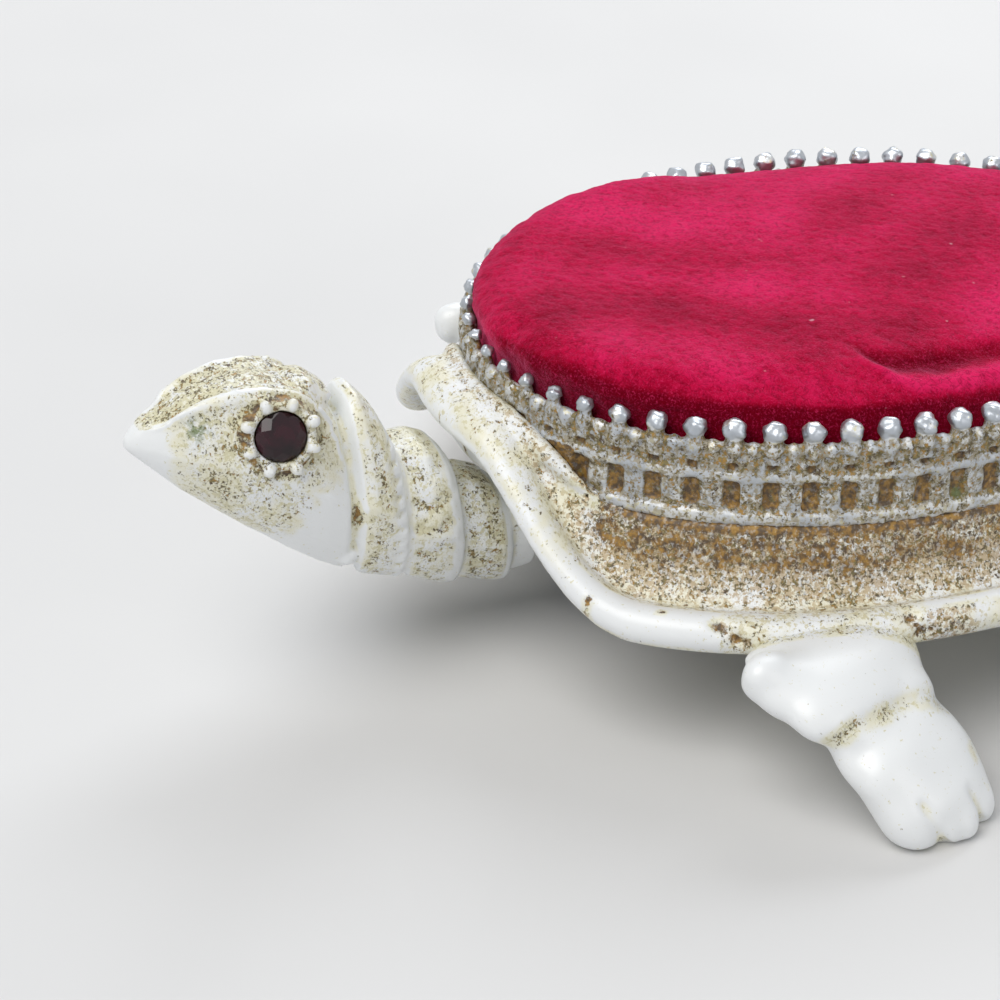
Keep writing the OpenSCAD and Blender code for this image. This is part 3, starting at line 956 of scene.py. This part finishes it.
# Where a stone sits: its place in the cheek, its tilt outwards and its turn to the front
def stone_seat(side):
    eye_place = Vector((4.35 * side, oval_y - 45.9, 22)) * MM
    outward_tilt, ahead_turn = radians(90 - 14), radians(-12)
    turn = Matrix.Rotation(ahead_turn * side, 4, "Z") @ Matrix.Rotation(outward_tilt * side, 4, "Y")
    return Matrix.Translation(eye_place) @ turn


print("the left stone sits at", [round(v / MM, 1) for v in stone_seat(1).translation], "mm")


# %% Eye prongs
# The two upper prongs of the right eye are worn flat: they don't show over the crown
def is_worn(seat):
    return seat.x < 0 and seat.z > 24


def prong_knobs(side):
    for i in range(8):
        turn = 2 * pi * (i + 0.5) / 8
        seat = stone_seat(side) @ (Vector((2.5 * cos(turn), 2.5 * sin(turn), 0.18)) * MM) / MM
        if not is_worn(seat):
            yield add_knob(seat, 0.44 + 0.05 * sin(3.7 * i + side))


# %% Shape the head
# Where the frame's two worn prongs stand, and where the face starts ahead of the oval's middle
HEAD_VOXEL = 0.17
WORN_PRONGS = ((-4.2, -39.7, 24.3), (-3.8, -41.5, 24.3))
FACE_START = (40.7, 41.2)


def shape_head():
    piece = merged_copy("head_casting", "head_enamel")
    added = [knob for side in (-1, 1) for knob in (*brow_knobs(piece, side), *prong_knobs(side))]
    added += back_knobs()
    join_and_remesh(piece, added, HEAD_VOXEL)
    polish(piece, 4)
    return piece


head = shape_head()
ahead = oval_y - points_of(head)[:, 1]
face = ease(ahead, *FACE_START)

# %% [markdown]
# The frame's prongs that are worn flat are smoothed away. The brow lines are softened a little,
# the crown between them much more, and it is sunk by three tenths of a millimetre with a small
# notch across.

# %% Crown
def model_crown(piece, ahead, face):
    worn = most(*(bump_at(points_of(piece), place, 0.8) for place in WORN_PRONGS))
    soften(piece, np.minimum(2 * worn, 1), 60)
    points = points_of(piece)
    soften(piece, 0.5 * peak(from_brow(points), 0.6) * face, 3)
    side, high = np.abs(points[:, 0]), points[:, 2]
    inside = ease(-side, -2.0, -1.3) * ease(high, 22.6, 23.6) * face
    back_lobe = band(ahead, 40.9, 41.5, 43.5, 44.0) * ease(high, 20.5, 21.5)
    soften(piece, np.maximum(inside, 0.9 * back_lobe * ease(-side, -2.6, -1.9)), 30)
    notch = peak(ahead, 0.3, 44.1) * inside
    points = points_of(piece)
    points[:, 2] -= 0.3 * inside * ease(ahead, 43.6, 44.6) + 0.15 * notch
    put_points(piece, points)


model_crown(head, ahead, face)
print("the crown is now", round(float(points_of(head)[:, 2].max()), 2), "mm high")

# %% [markdown]
# The neck rings and the collar's edge have shallow wavy grooves. They are cut as a moved skin,
# because they are little more than a tenth of a millimetre deep. A wave of height gives the
# grooves, slow noise bends them, and they fade towards the inside of the neck.

# %% Collar and neck rings
def neck_zones(points, ahead):
    high = points[:, 2]
    broken = ease(lumps(points, 1.6, 2.0), -0.5, 0.4)
    wavy = (high - 14.3 + 0.25 * np.sin(ahead * 2.4) + 0.3 * lumps(points, 3.0)) * pi
    return SimpleNamespace(
        collar=band(ahead, 36.7, 37.1, 39.6, 40.3),
        collar_edge=band(ahead, 36.7, 37.0, 37.3, 38.0),
        ring_two=band(ahead, 32.5, 33.1, 35.8, 36.4),
        ring_three=band(ahead, 28.4, 29.0, 31.4, 32.0),
        waves=np.cos(wavy) * (0.35 + 0.65 * peak(high, 2.2, 13.9)) * (0.5 + 0.5 * broken),
    )


def carve_neck(piece, neck, face):
    points, normals = points_of(piece), normals_of(piece)
    outer = ease(np.abs(normals[:, 0]) + np.maximum(normals[:, 2], 0), 0.35, 0.8)
    carve = 0.13 * neck.ring_two * np.maximum(neck.waves, -0.2)
    carve += 0.08 * neck.ring_three * np.maximum(neck.waves, 0)
    carve += 0.13 * neck.collar_edge * np.maximum(np.sin(points[:, 2] * 5.4), 0)
    move_out(piece, -carve * outer)
    move_out(piece, 0.03 * lumps(points, 0.9) * (1 - 0.6 * face))
    print("deepest groove", round(float((carve * outer).max()), 2), "mm")


neck = neck_zones(points_of(head), ahead)
carve_neck(head, neck, face)

# %% [markdown]
# The cheeks carry a light scatter of flecks, the flat top and the collar a heavier one, and the
# recess round each eye is nearly full. The brow lines, the beak's tip and the jaw are wiped
# nearly clean. One spot between the left eye and the beak went green, and a brown patch lies
# where the left cheek meets the collar.

# %% Wash on the head
GREEN_SPOT = (2.4, oval_y - 51.3, 22.7)
BROWN_PATCH = (4.4, oval_y - 40.3, 14.6)


# Wash all round an eye, and the deeper pool in its recess
def recess_amounts(points):
    recess, deep = np.zeros(len(points)), np.zeros(len(points))
    for stone in ("left_eye_stone", "right_eye_stone"):
        low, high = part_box(stone)
        away = np.linalg.norm(points - np.array((low + high) / 2 / MM), axis=1)
        ring = band(away, 1.5, 1.9, 2.7, 4.2)
        recess = np.maximum(recess, ring)
        deep = np.maximum(deep, ring * (1 - ease(away, 2.6, 3.4)))
    return recess, deep


def face_wash(points, ahead, face, top):
    high = points[:, 2]
    jaw = 1 - ease(high, 11.5, 15.5)
    beak = 1 - ease(ahead, 52.6, 54.2)
    near_eye = 1 - ease(np.abs(ahead - 47.5), 2.5, 6.5)
    rear_jaw = ease(-ahead - 0.5 * high, -53.5, -51.0) * (1 - ease(high, 16, 18.5))
    cheek = face * (0.27 + 0.2 * near_eye) * (1 - 0.75 * jaw) * (1 - 0.9 * rear_jaw) * beak
    wash = most(0.05 + cheek, 0.72 * face * top * (1 - ease(ahead, 54.4, 55.2)))
    return wash * (1 - 0.95 * peak(from_brow(points), 0.26))


def dress_head(piece, ahead, face, neck):
    points, normals = points_of(piece), normals_of(piece)
    top = ease(normals[:, 2], 0.5, 0.72)
    recess, deep = recess_amounts(points)
    brown_patch = bump_at(points, BROWN_PATCH, 1.0)
    on_collar = neck.collar * (0.1 + 0.45 * ease(ahead, 37.0, 38.2))
    on_ring = neck.ring_two * (0.5 + 0.22 * np.maximum(neck.waves, 0))
    on_ring = on_ring * (1 - 0.7 * peak(ahead, 0.45, 32.9))
    wash = most(
        face_wash(points, ahead, face, top), 0.84 * recess, on_collar, on_ring,
        # The wash on ring three is partly the casting's own flecks and partly painted shade, for the
        # shadow it lies in under the shell's arch.
        neck.ring_three * 0.62, 0.7 * brown_patch,
    )
    sunk, proud = hollows_and_ridges(piece, 10, 0.2)
    set_amount(piece, "wash", wash + 0.5 * sunk - 0.75 * proud * (1 - 0.3 * top))
    set_amount(piece, "patina", bump_at(points, GREEN_SPOT, 0.8))
    set_amount(piece, "pool", most(0.68 * deep, 0.62 * brown_patch) + 0.45 * sunk - 0.8 * proud)
    finish_piece(piece, "head", "white_enamel", body_enamel, "head_casting")


dress_head(head, ahead, face, neck)

# %% [markdown]
# The tail is the same casting work in small: a tapered cone hung from its own pin, with a few
# rings pressed in by a wave along it.

# %% Tail
def dress_tail():
    piece = merged_copy("tail_casting", "tail_enamel")
    apply_modifier(piece, "REMESH", mode="VOXEL", voxel_size=FINE_VOXEL * MM)
    polish(piece, 10)
    behind = points_of(piece)[:, 1] - oval_y
    rings = np.maximum(np.sin(behind * 2.6), 0) * ease(behind, 29, 31) * (1 - ease(behind, 39, 42))
    move_out(piece, -0.08 * rings)
    set_amount(piece, "wash", 0.2 + 0.3 * rings + 0.5 * hollows_and_ridges(piece, 12, 0.2)[0])
    set_amount(piece, "pool", 0.4 * rings)
    finish_piece(piece, "tail", "white_enamel", body_enamel, "tail_casting")


dress_tail()

# %% [markdown]
# The eyes are foiled glass stones with a flat table and a ring of crown facets. The frame has
# them with eight facets. A stone of this kind has eight kites round an eight sided table and
# sixteen small facets at the girdle, so it is built again as the hull of those rings and a
# point, which makes every facet flat by itself. The glass is nearly opaque, because foil lies
# behind it, so a dark red skin with a clear coat stands for it.

# %% Garnet glass
def garnet_glass():
    material, tree, shader, place = new_material(
        "dark_garnet", Roughness=0.06, IOR=1.55,
        Coat_Weight=0.15, Coat_Roughness=0.04, Specular_IOR_Level=0.3,
    )
    cloud = noise(tree, place, 1.1, 2, 0.5)
    tint = ramp(tree, cloud, (0.35, (0.008, 0.001, 0.003)), (0.65, (0.03, 0.002, 0.008)))
    tree.links.new(tint, shader.inputs["Base Color"])
    return material


garnet = garnet_glass()
print("made", garnet.name)

# %% Eye stones
# Corners of a stone, ring by ring: how many, share of the radius, height, and part of a step that
# the ring is turned by
STONE_RADIUS = 1.77
STONE_RINGS = ((8, 0.56, 0.56, 0.0), (8, 0.83, 0.3, 0.5), (16, 1.0, 0.02, 0.0), (16, 1.0, -0.1, 0.0))
STONE_POINT = Vector((0, 0, -0.98))


def ring_points(count, share, height, turn):
    radius = share * STONE_RADIUS
    steps = [2 * pi * (i + turn) / count for i in range(count)]
    return [Vector((radius * cos(a), radius * sin(a), height)) for a in steps]


def cut_stone(node, name, side):
    corners = [corner for ring in STONE_RINGS for corner in ring_points(*ring)] + [STONE_POINT]
    piece = bpy.data.objects.new(name, bpy.data.meshes.new(name))
    bpy.context.scene.collection.objects.link(piece)
    piece.data.from_pydata([corner * MM for corner in corners], [], [])
    edit_all(piece, lambda: bpy.ops.mesh.convex_hull())
    piece.data.transform(stone_seat(side))
    piece.data.update()
    piece.data.materials.append(garnet)
    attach(piece, "head")
    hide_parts(node)
    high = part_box(node)[1]
    proud = [max(v.co[k] for v in piece.data.vertices) - high[k] for k in range(3)]
    print(name, "stands proud of its solid by", [round(p / MM, 2) for p in proud], "mm")


cut_stone("left_eye_stone", "left_garnet", 1)
cut_stone("right_eye_stone", "right_garnet", -1)

# %% [markdown]
# The pad is velvet drawn tight over wadding and turned in under a card. A modelled dome looks
# stiff, so the cover is blown up as cloth: the hull of the frame's cover is remeshed, its foot is
# pinned where the gallery holds it, and air pressure rounds the rest for twenty frames. The
# solver is made for things about a metre across, so the pad is simulated thirty times as large
# and brought back. No point may travel further than the room inside the beads.

# %% Form of the pad
PAD_VOXEL = 0.75


def pad_form():
    piece = merged_copy("velvet_cover", "velvet_pad")
    edit_all(piece, lambda: bpy.ops.mesh.convex_hull())
    apply_modifier(piece, "REMESH", mode="VOXEL", voxel_size=PAD_VOXEL * MM)
    polish(piece, 6)
    points = points_of(piece)
    share = np.hypot(points[:, 0] / oval_half_width, (points[:, 1] - oval_y) / oval_half_length)
    angle = angle_round(points[:, 0], points[:, 1])
    front = ease(np.cos(angle - radians(-18)), 0.1, 0.9)
    near = ease(points[:, 0], -6, 8)
    full = ease(points[:, 2], floor_z + 5.0, floor_z + 7.2) * share**3
    far_left = peak(np.degrees(angle), 20, -66)
    points[:, 2] += full * (0.6 + 0.55 * near + 0.9 * front * (1 - 0.4 * near) + 0.5 * far_left)
    across = (points - np.array([0, oval_y, 0])) * np.array([1, 1, 0])
    across /= np.linalg.norm(across, axis=1)[:, None].clip(0.01)
    over_beads = 1.5 * front * ease(points[:, 2], floor_z + 6.6, floor_z + 8.0) * share**6
    points += across * over_beads[:, None]
    put_points(piece, points)
    return piece


pad = pad_form()
print("the pad starts", round(float(np.ptp(points_of(pad)[:, 2])), 1), "mm high")

# %% Blow it up as cloth
SIM_SCALE = 30
SIM_FRAMES = 20
REACH_LIMIT = 0.55
HELD_BELOW = 5.6


def inflate(piece):
    still = points_of(piece)
    put_points(piece, still * SIM_SCALE)
    held = piece.vertex_groups.new(name="held")
    foot = [int(i) for i in np.nonzero(still[:, 2] < floor_z + HELD_BELOW)[0]]
    held.add(foot, 1.0, "REPLACE")
    make_active(piece)
    cloth = piece.modifiers.new("cloth", "CLOTH")
    cloth.settings.quality = 6
    cloth.settings.mass = 0.3
    cloth.settings.use_pressure = True
    cloth.settings.uniform_pressure_force = 4
    cloth.settings.effector_weights.gravity = 0
    cloth.settings.vertex_group_mass = "held"
    cloth.settings.tension_stiffness = 12
    cloth.settings.bending_stiffness = 0.6
    cloth.point_cache.frame_start, cloth.point_cache.frame_end = 1, SIM_FRAMES
    for step in range(1, SIM_FRAMES + 1):
        bpy.context.scene.frame_set(step)
    bpy.ops.object.modifier_apply(modifier="cloth")
    bpy.context.scene.frame_set(1)
    piece.vertex_groups.clear()
    move = points_of(piece) / SIM_SCALE - still
    length = np.linalg.norm(move, axis=1)
    capped = REACH_LIMIT * np.tanh(length / REACH_LIMIT)
    put_points(piece, still + move * (capped / length.clip(1e-6))[:, None])
    print("the pad swelled by up to", round(float(capped.max()), 2), "mm")


inflate(pad)

# %% Finer skin for the pile
PILE_VOXEL = 0.25
apply_modifier(pad, "SUBSURF", levels=1, render_levels=1)
apply_modifier(pad, "REMESH", mode="VOXEL", voxel_size=PILE_VOXEL * MM)
polish(pad, 4)
print("pad has", len(pad.data.polygons), "faces")

# %% [markdown]
# A pad that has been used is not even. A soft fold crosses its left side near the middle, with a
# hollow beside it, and the pile stands in tiny clumps. The clumps are moved skin, so they show at
# the edge too. Velvet looks light where the pile leans away and dark where it leans towards the
# eye. The sheen socket gives that. An attribute on the points shifts the red where the pile was
# brushed, and it also holds painted light: painted shade on the steep sides, deepest on the near
# slope that faces the camera, a painted sheen that lightens the far left, a painted highlight on
# the fold's ridge and painted shade in its hollow.

# %% Clumps of pile
PIT_PITCH = 0.8


# Three made-up numbers for each cell of a grid, between 0 and 1 and the same at every run
def scatter(cell):
    waves = [np.sin(cell @ np.array((12.9 + k, 78.2, 37.7 - k))) for k in range(3)]
    return np.column_stack([np.modf(np.abs(wave * 4375.5))[0] for wave in waves])


# How far each point is from the nearest of many scattered pits, as a share of their pitch. The
# clumps stand between the pits.
def from_pits(points):
    cells = np.floor(points / PIT_PITCH)
    nearest = np.full(len(points), 9.0)
    for shift in itertools.product((-1, 0, 1), repeat=3):
        cell = cells + np.array(shift)
        away = np.linalg.norm(points / PIT_PITCH - cell - scatter(cell), axis=1)
        nearest = np.minimum(nearest, away)
    return nearest


clumps = ease(from_pits(points_of(pad)), 0.1, 0.7)
print("clumps cover", round(100 * float((clumps > 0.5).mean())), "% of the pad")

# %% Fold, lean of the pile, and painted shade and sheen
def work_pad(piece, clumps):
    points, normals = points_of(piece), normals_of(piece)
    across, along = points[:, 0], points[:, 1] - oval_y
    from_ridge = across - (18.8 - 2.5 * np.exp(-(along + 6.3) / 1.3))
    on_fold = band(along, -7.0, -5.6, 8, 20)
    ridge = peak(from_ridge, 1.0) * on_fold
    hollow = peak(from_ridge, 1.1, -1.9) * on_fold * (1 - 0.6 * ease(along, 0, 6))
    fold = ease(normals[:, 2], 0.2, 0.8) * (0.3 * ridge - 0.5 * hollow)
    pile = fold + 0.07 * (clumps - 0.5) + 0.02 * lumps(points, 0.45)
    move_out(piece, pile + 0.03 * lumps(points, 1.6))
    # The amount below also paints light: painted shade on the steep sides, most on the near slope that
    # faces the camera, a painted sheen on the far left, a painted highlight on the fold's ridge and
    # painted shade in its hollow. Its slow lumps and clumps are the brushed pile's own tone.
    side_slope = 1 - ease(normals[:, 2], 0.5, 0.97)
    near_slope = side_slope * ease(normals[:, 0], -0.2, 0.5)
    lean_and_shade = 0.62 + 0.3 * lumps(points, 6.0, 3.0) + 0.4 * ridge - 0.8 * hollow + 0.15 * (clumps - 0.5)
    lean_and_shade += 0.2 * ease(-across, 0, 14) * (1 - side_slope) - 0.1 * side_slope - 0.65 * near_slope
    set_amount(piece, "lean_and_shade", lean_and_shade)
    print("lean goes from", round(float(lean_and_shade.min()), 2), "to", round(float(lean_and_shade.max()), 2))


work_pad(pad, clumps)

# %% Crimson velvet
VELVET_DEEP = (0.15, 0.0005, 0.007)
VELVET_DARK = (0.27, 0.001, 0.015)
VELVET_RED = (0.5, 0.004, 0.045)
VELVET_LIGHT = (0.72, 0.016, 0.11)
PIT_RED = (0.11, 0.0005, 0.007)
PARTING_RED = (0.16, 0.0005, 0.01)
FIBRE_PINK = (0.78, 0.04, 0.16)
LINT_GREY = (0.7, 0.45, 0.5)
SHEEN_PINK = (1.0, 0.21, 0.42, 1)
PILE_DEPTH_MM = 0.13


# Small pits between clumps: cells whose places are shaken by noise, so that no grid shows
def pile_pits(tree, place):
    shake = {"Vector": place, "Scale": 1 / (0.4 * MM), "Detail": 3.0}
    wander = add_node(tree, "ShaderNodeTexNoise", shake).outputs["Color"]
    reach = (0.7 * MM, 0.7 * MM, 0.7 * MM)
    shaken = {0: wander, 1: reach, 2: place}
    moved = add_node(tree, "ShaderNodeVectorMath", shaken, operation="MULTIPLY_ADD").outputs[0]
    cells = {"Vector": moved, "Scale": 1 / (0.6 * MM)}
    return add_node(tree, "ShaderNodeTexVoronoi", cells).outputs["Distance"]


def velvet():
    material, tree, shader, place = new_material(
        "crimson_velvet", Roughness=1.0, Sheen_Weight=0.75, Sheen_Roughness=0.36,
        Sheen_Tint=SHEEN_PINK, Specular_IOR_Level=0.0,
    )
    pits = pile_pits(tree, place)
    fibres = noise(tree, place, 0.15, 4, 0.7, 0.8)
    # The red is shifted by an amount that holds painted shade, painted sheen and a painted fold highlight
    # as well as the brushed pile's tone.
    lean_and_shade = times(tree, read_attribute(tree, "lean_and_shade"), 0.7)
    tone = math(tree, "ADD", lean_and_shade, times(tree, noise(tree, place, 2.2, 3, 0.6), 0.3))
    stops = ((0.15, VELVET_DEEP), (0.4, VELVET_DARK), (0.6, VELVET_RED), (0.85, VELVET_LIGHT))
    base = ramp(tree, tone, *stops)
    base = mix_colours(tree, remap(tree, pits, 0.05, 0.55, 0.3, 0.0), base, PIT_RED)
    winding = math(tree, "SUBTRACT", noise(tree, place, 0.75, 2, 0.5, 1.2), 0.5)
    winding = math(tree, "ABSOLUTE", winding, 0.0)
    base = mix_colours(tree, remap(tree, winding, 0.0, 0.05, 0.5, 0.0), base, PARTING_RED)
    base = mix_colours(tree, remap(tree, fibres, 0.5, 0.66, 0.0, 0.4), base, FIBRE_PINK)
    lint = remap(tree, noise(tree, place, 0.9, 1, 0.3), 0.8, 0.84)
    base = mix_colours(tree, times(tree, lint, 0.6), base, LINT_GREY)
    tree.links.new(base, shader.inputs["Base Color"])
    height = math(tree, "ADD", times(tree, pits, 0.5), times(tree, fibres, 0.6))
    add_bump(tree, shader, height, PILE_DEPTH_MM)
    return material


finish_piece(pad, "shell", "red_velvet", velvet(), "velvet_cover", angle=180)

# %% [markdown]
# The hidden pieces keep their frame solids and get honest finishes: grey lead for the slugs,
# dull brass for the pins, pulpy card and cotton wadding inside the pad.

# %% Finishes of the frame's own pieces
def plain_finish(name, dark, light, grain_mm, depth_mm, **constants):
    material, tree, shader, place = new_material(name, **constants)
    grain = noise(tree, place, grain_mm, 4, 0.6)
    tree.links.new(ramp(tree, grain, (0.35, dark), (0.65, light)), shader.inputs["Base Color"])
    add_bump(tree, shader, grain, depth_mm)
    return material


LEAD_DARK, LEAD_LIGHT = (0.1, 0.105, 0.115), (0.22, 0.225, 0.24)
BRASS_DARK, BRASS_LIGHT = (0.4, 0.27, 0.1), (0.65, 0.48, 0.22)
CARD_DARK, CARD_LIGHT = (0.42, 0.34, 0.24), (0.6, 0.5, 0.37)
COTTON_DARK, COTTON_LIGHT = (0.72, 0.7, 0.64), (0.88, 0.86, 0.8)
lead = plain_finish("cast_lead", LEAD_DARK, LEAD_LIGHT, 0.9, 0.05, Metallic=0.8, Roughness=0.55)
brass = plain_finish("dull_brass", BRASS_DARK, BRASS_LIGHT, 0.5, 0.01, Metallic=1.0, Roughness=0.35)
card = plain_finish("grey_card", CARD_DARK, CARD_LIGHT, 0.4, 0.03, Roughness=0.9)
cotton = plain_finish("cotton_wadding", COTTON_DARK, COTTON_LIGHT, 0.8, 0.15, Roughness=1.0)

hidden_finishes = {
    "head_counterweight": lead, "tail_counterweight": lead, "head_pivot_pin": brass,
    "tail_pivot_pin": brass, "cushion_board": card, "cushion_stuffing": cotton,
}
for name, finish in hidden_finishes.items():
    for slot in nodes[name].material_slots:
        slot.material = finish
    print(finish.name, "on", name)

# %% [markdown]
# The floor is a plain pale sheet just under the feet. Three soft lamps stand round the turtle: the
# strongest ahead of it and above, one behind its right side, and a weak low one at its left. A
# dim even world fills the shadows, and it is seen paler than it lights. The levels keep most of
# the white enamel below pure white.

# %% Floor
FLOOR_DARK, FLOOR_LIGHT = (0.66, 0.66, 0.66), (0.69, 0.69, 0.69)
deselect_all()
bpy.ops.mesh.primitive_plane_add(size=6, location=(0, 0, -0.02 * MM))
floor = bpy.context.object
floor.name = "pale_floor"
floor_material, floor_tree, floor_shader, floor_place = new_material("pale_floor", Roughness=0.6)
clouds = noise(floor_tree, floor_place, 40, 2, 0.5)
shade = ramp(floor_tree, clouds, (0.3, FLOOR_DARK), (0.7, FLOOR_LIGHT))
floor_tree.links.new(shade, floor_shader.inputs["Base Color"])
floor.data.materials.append(floor_material)
print("the floor lies at", round(floor.location.z / MM, 2), "mm")


# %% Lamps
def add_lamp(name, place, spread, strength, colour):
    light = bpy.data.lights.new(name, "SUN")
    light.angle = radians(spread)
    light.energy = strength
    light.color = colour
    lamp = bpy.data.objects.new(name, light)
    lamp.location = place
    lamp.rotation_euler = (-Vector(place)).to_track_quat("-Z", "Y").to_euler()
    bpy.context.scene.collection.objects.link(lamp)
    print(name, "at strength", strength)


add_lamp("soft_key", (0.1, -0.25, 0.42), 48, 2.15, (1.0, 0.98, 0.95))
add_lamp("back_light", (-0.32, 0.25, 0.35), 42, 1.45, (0.93, 0.96, 1.0))
add_lamp("side_fill", (0.42, 0.22, 0.2), 32, 0.42, (1.0, 0.98, 0.96))

# %% World
world = bpy.data.worlds.new("even_room")
bpy.context.scene.world = world
world.use_nodes = True
room = world.node_tree
fill_light = room.nodes["Background"]
fill_light.inputs["Color"].default_value = (0.9, 0.94, 1.0, 1)
fill_light.inputs["Strength"].default_value = 0.26
seen = add_node(room, "ShaderNodeBackground", {"Color": (0.8, 0.81, 0.82, 1), "Strength": 1.0})
ray = add_node(room, "ShaderNodeLightPath")
by_eye = math(room, "MAXIMUM", ray.outputs["Is Camera Ray"], ray.outputs["Is Transmission Ray"])
by_eye = math(room, "MAXIMUM", by_eye, ray.outputs["Is Glossy Ray"])
both = add_node(room, "ShaderNodeMixShader", {0: by_eye, 1: fill_light.outputs[0], 2: seen.outputs[0]})
room.links.new(both.outputs[0], room.nodes["World Output"].inputs["Surface"])
bpy.context.scene.view_settings.view_transform = "Standard"
print("the world fills with", round(fill_light.inputs["Strength"].default_value, 2))
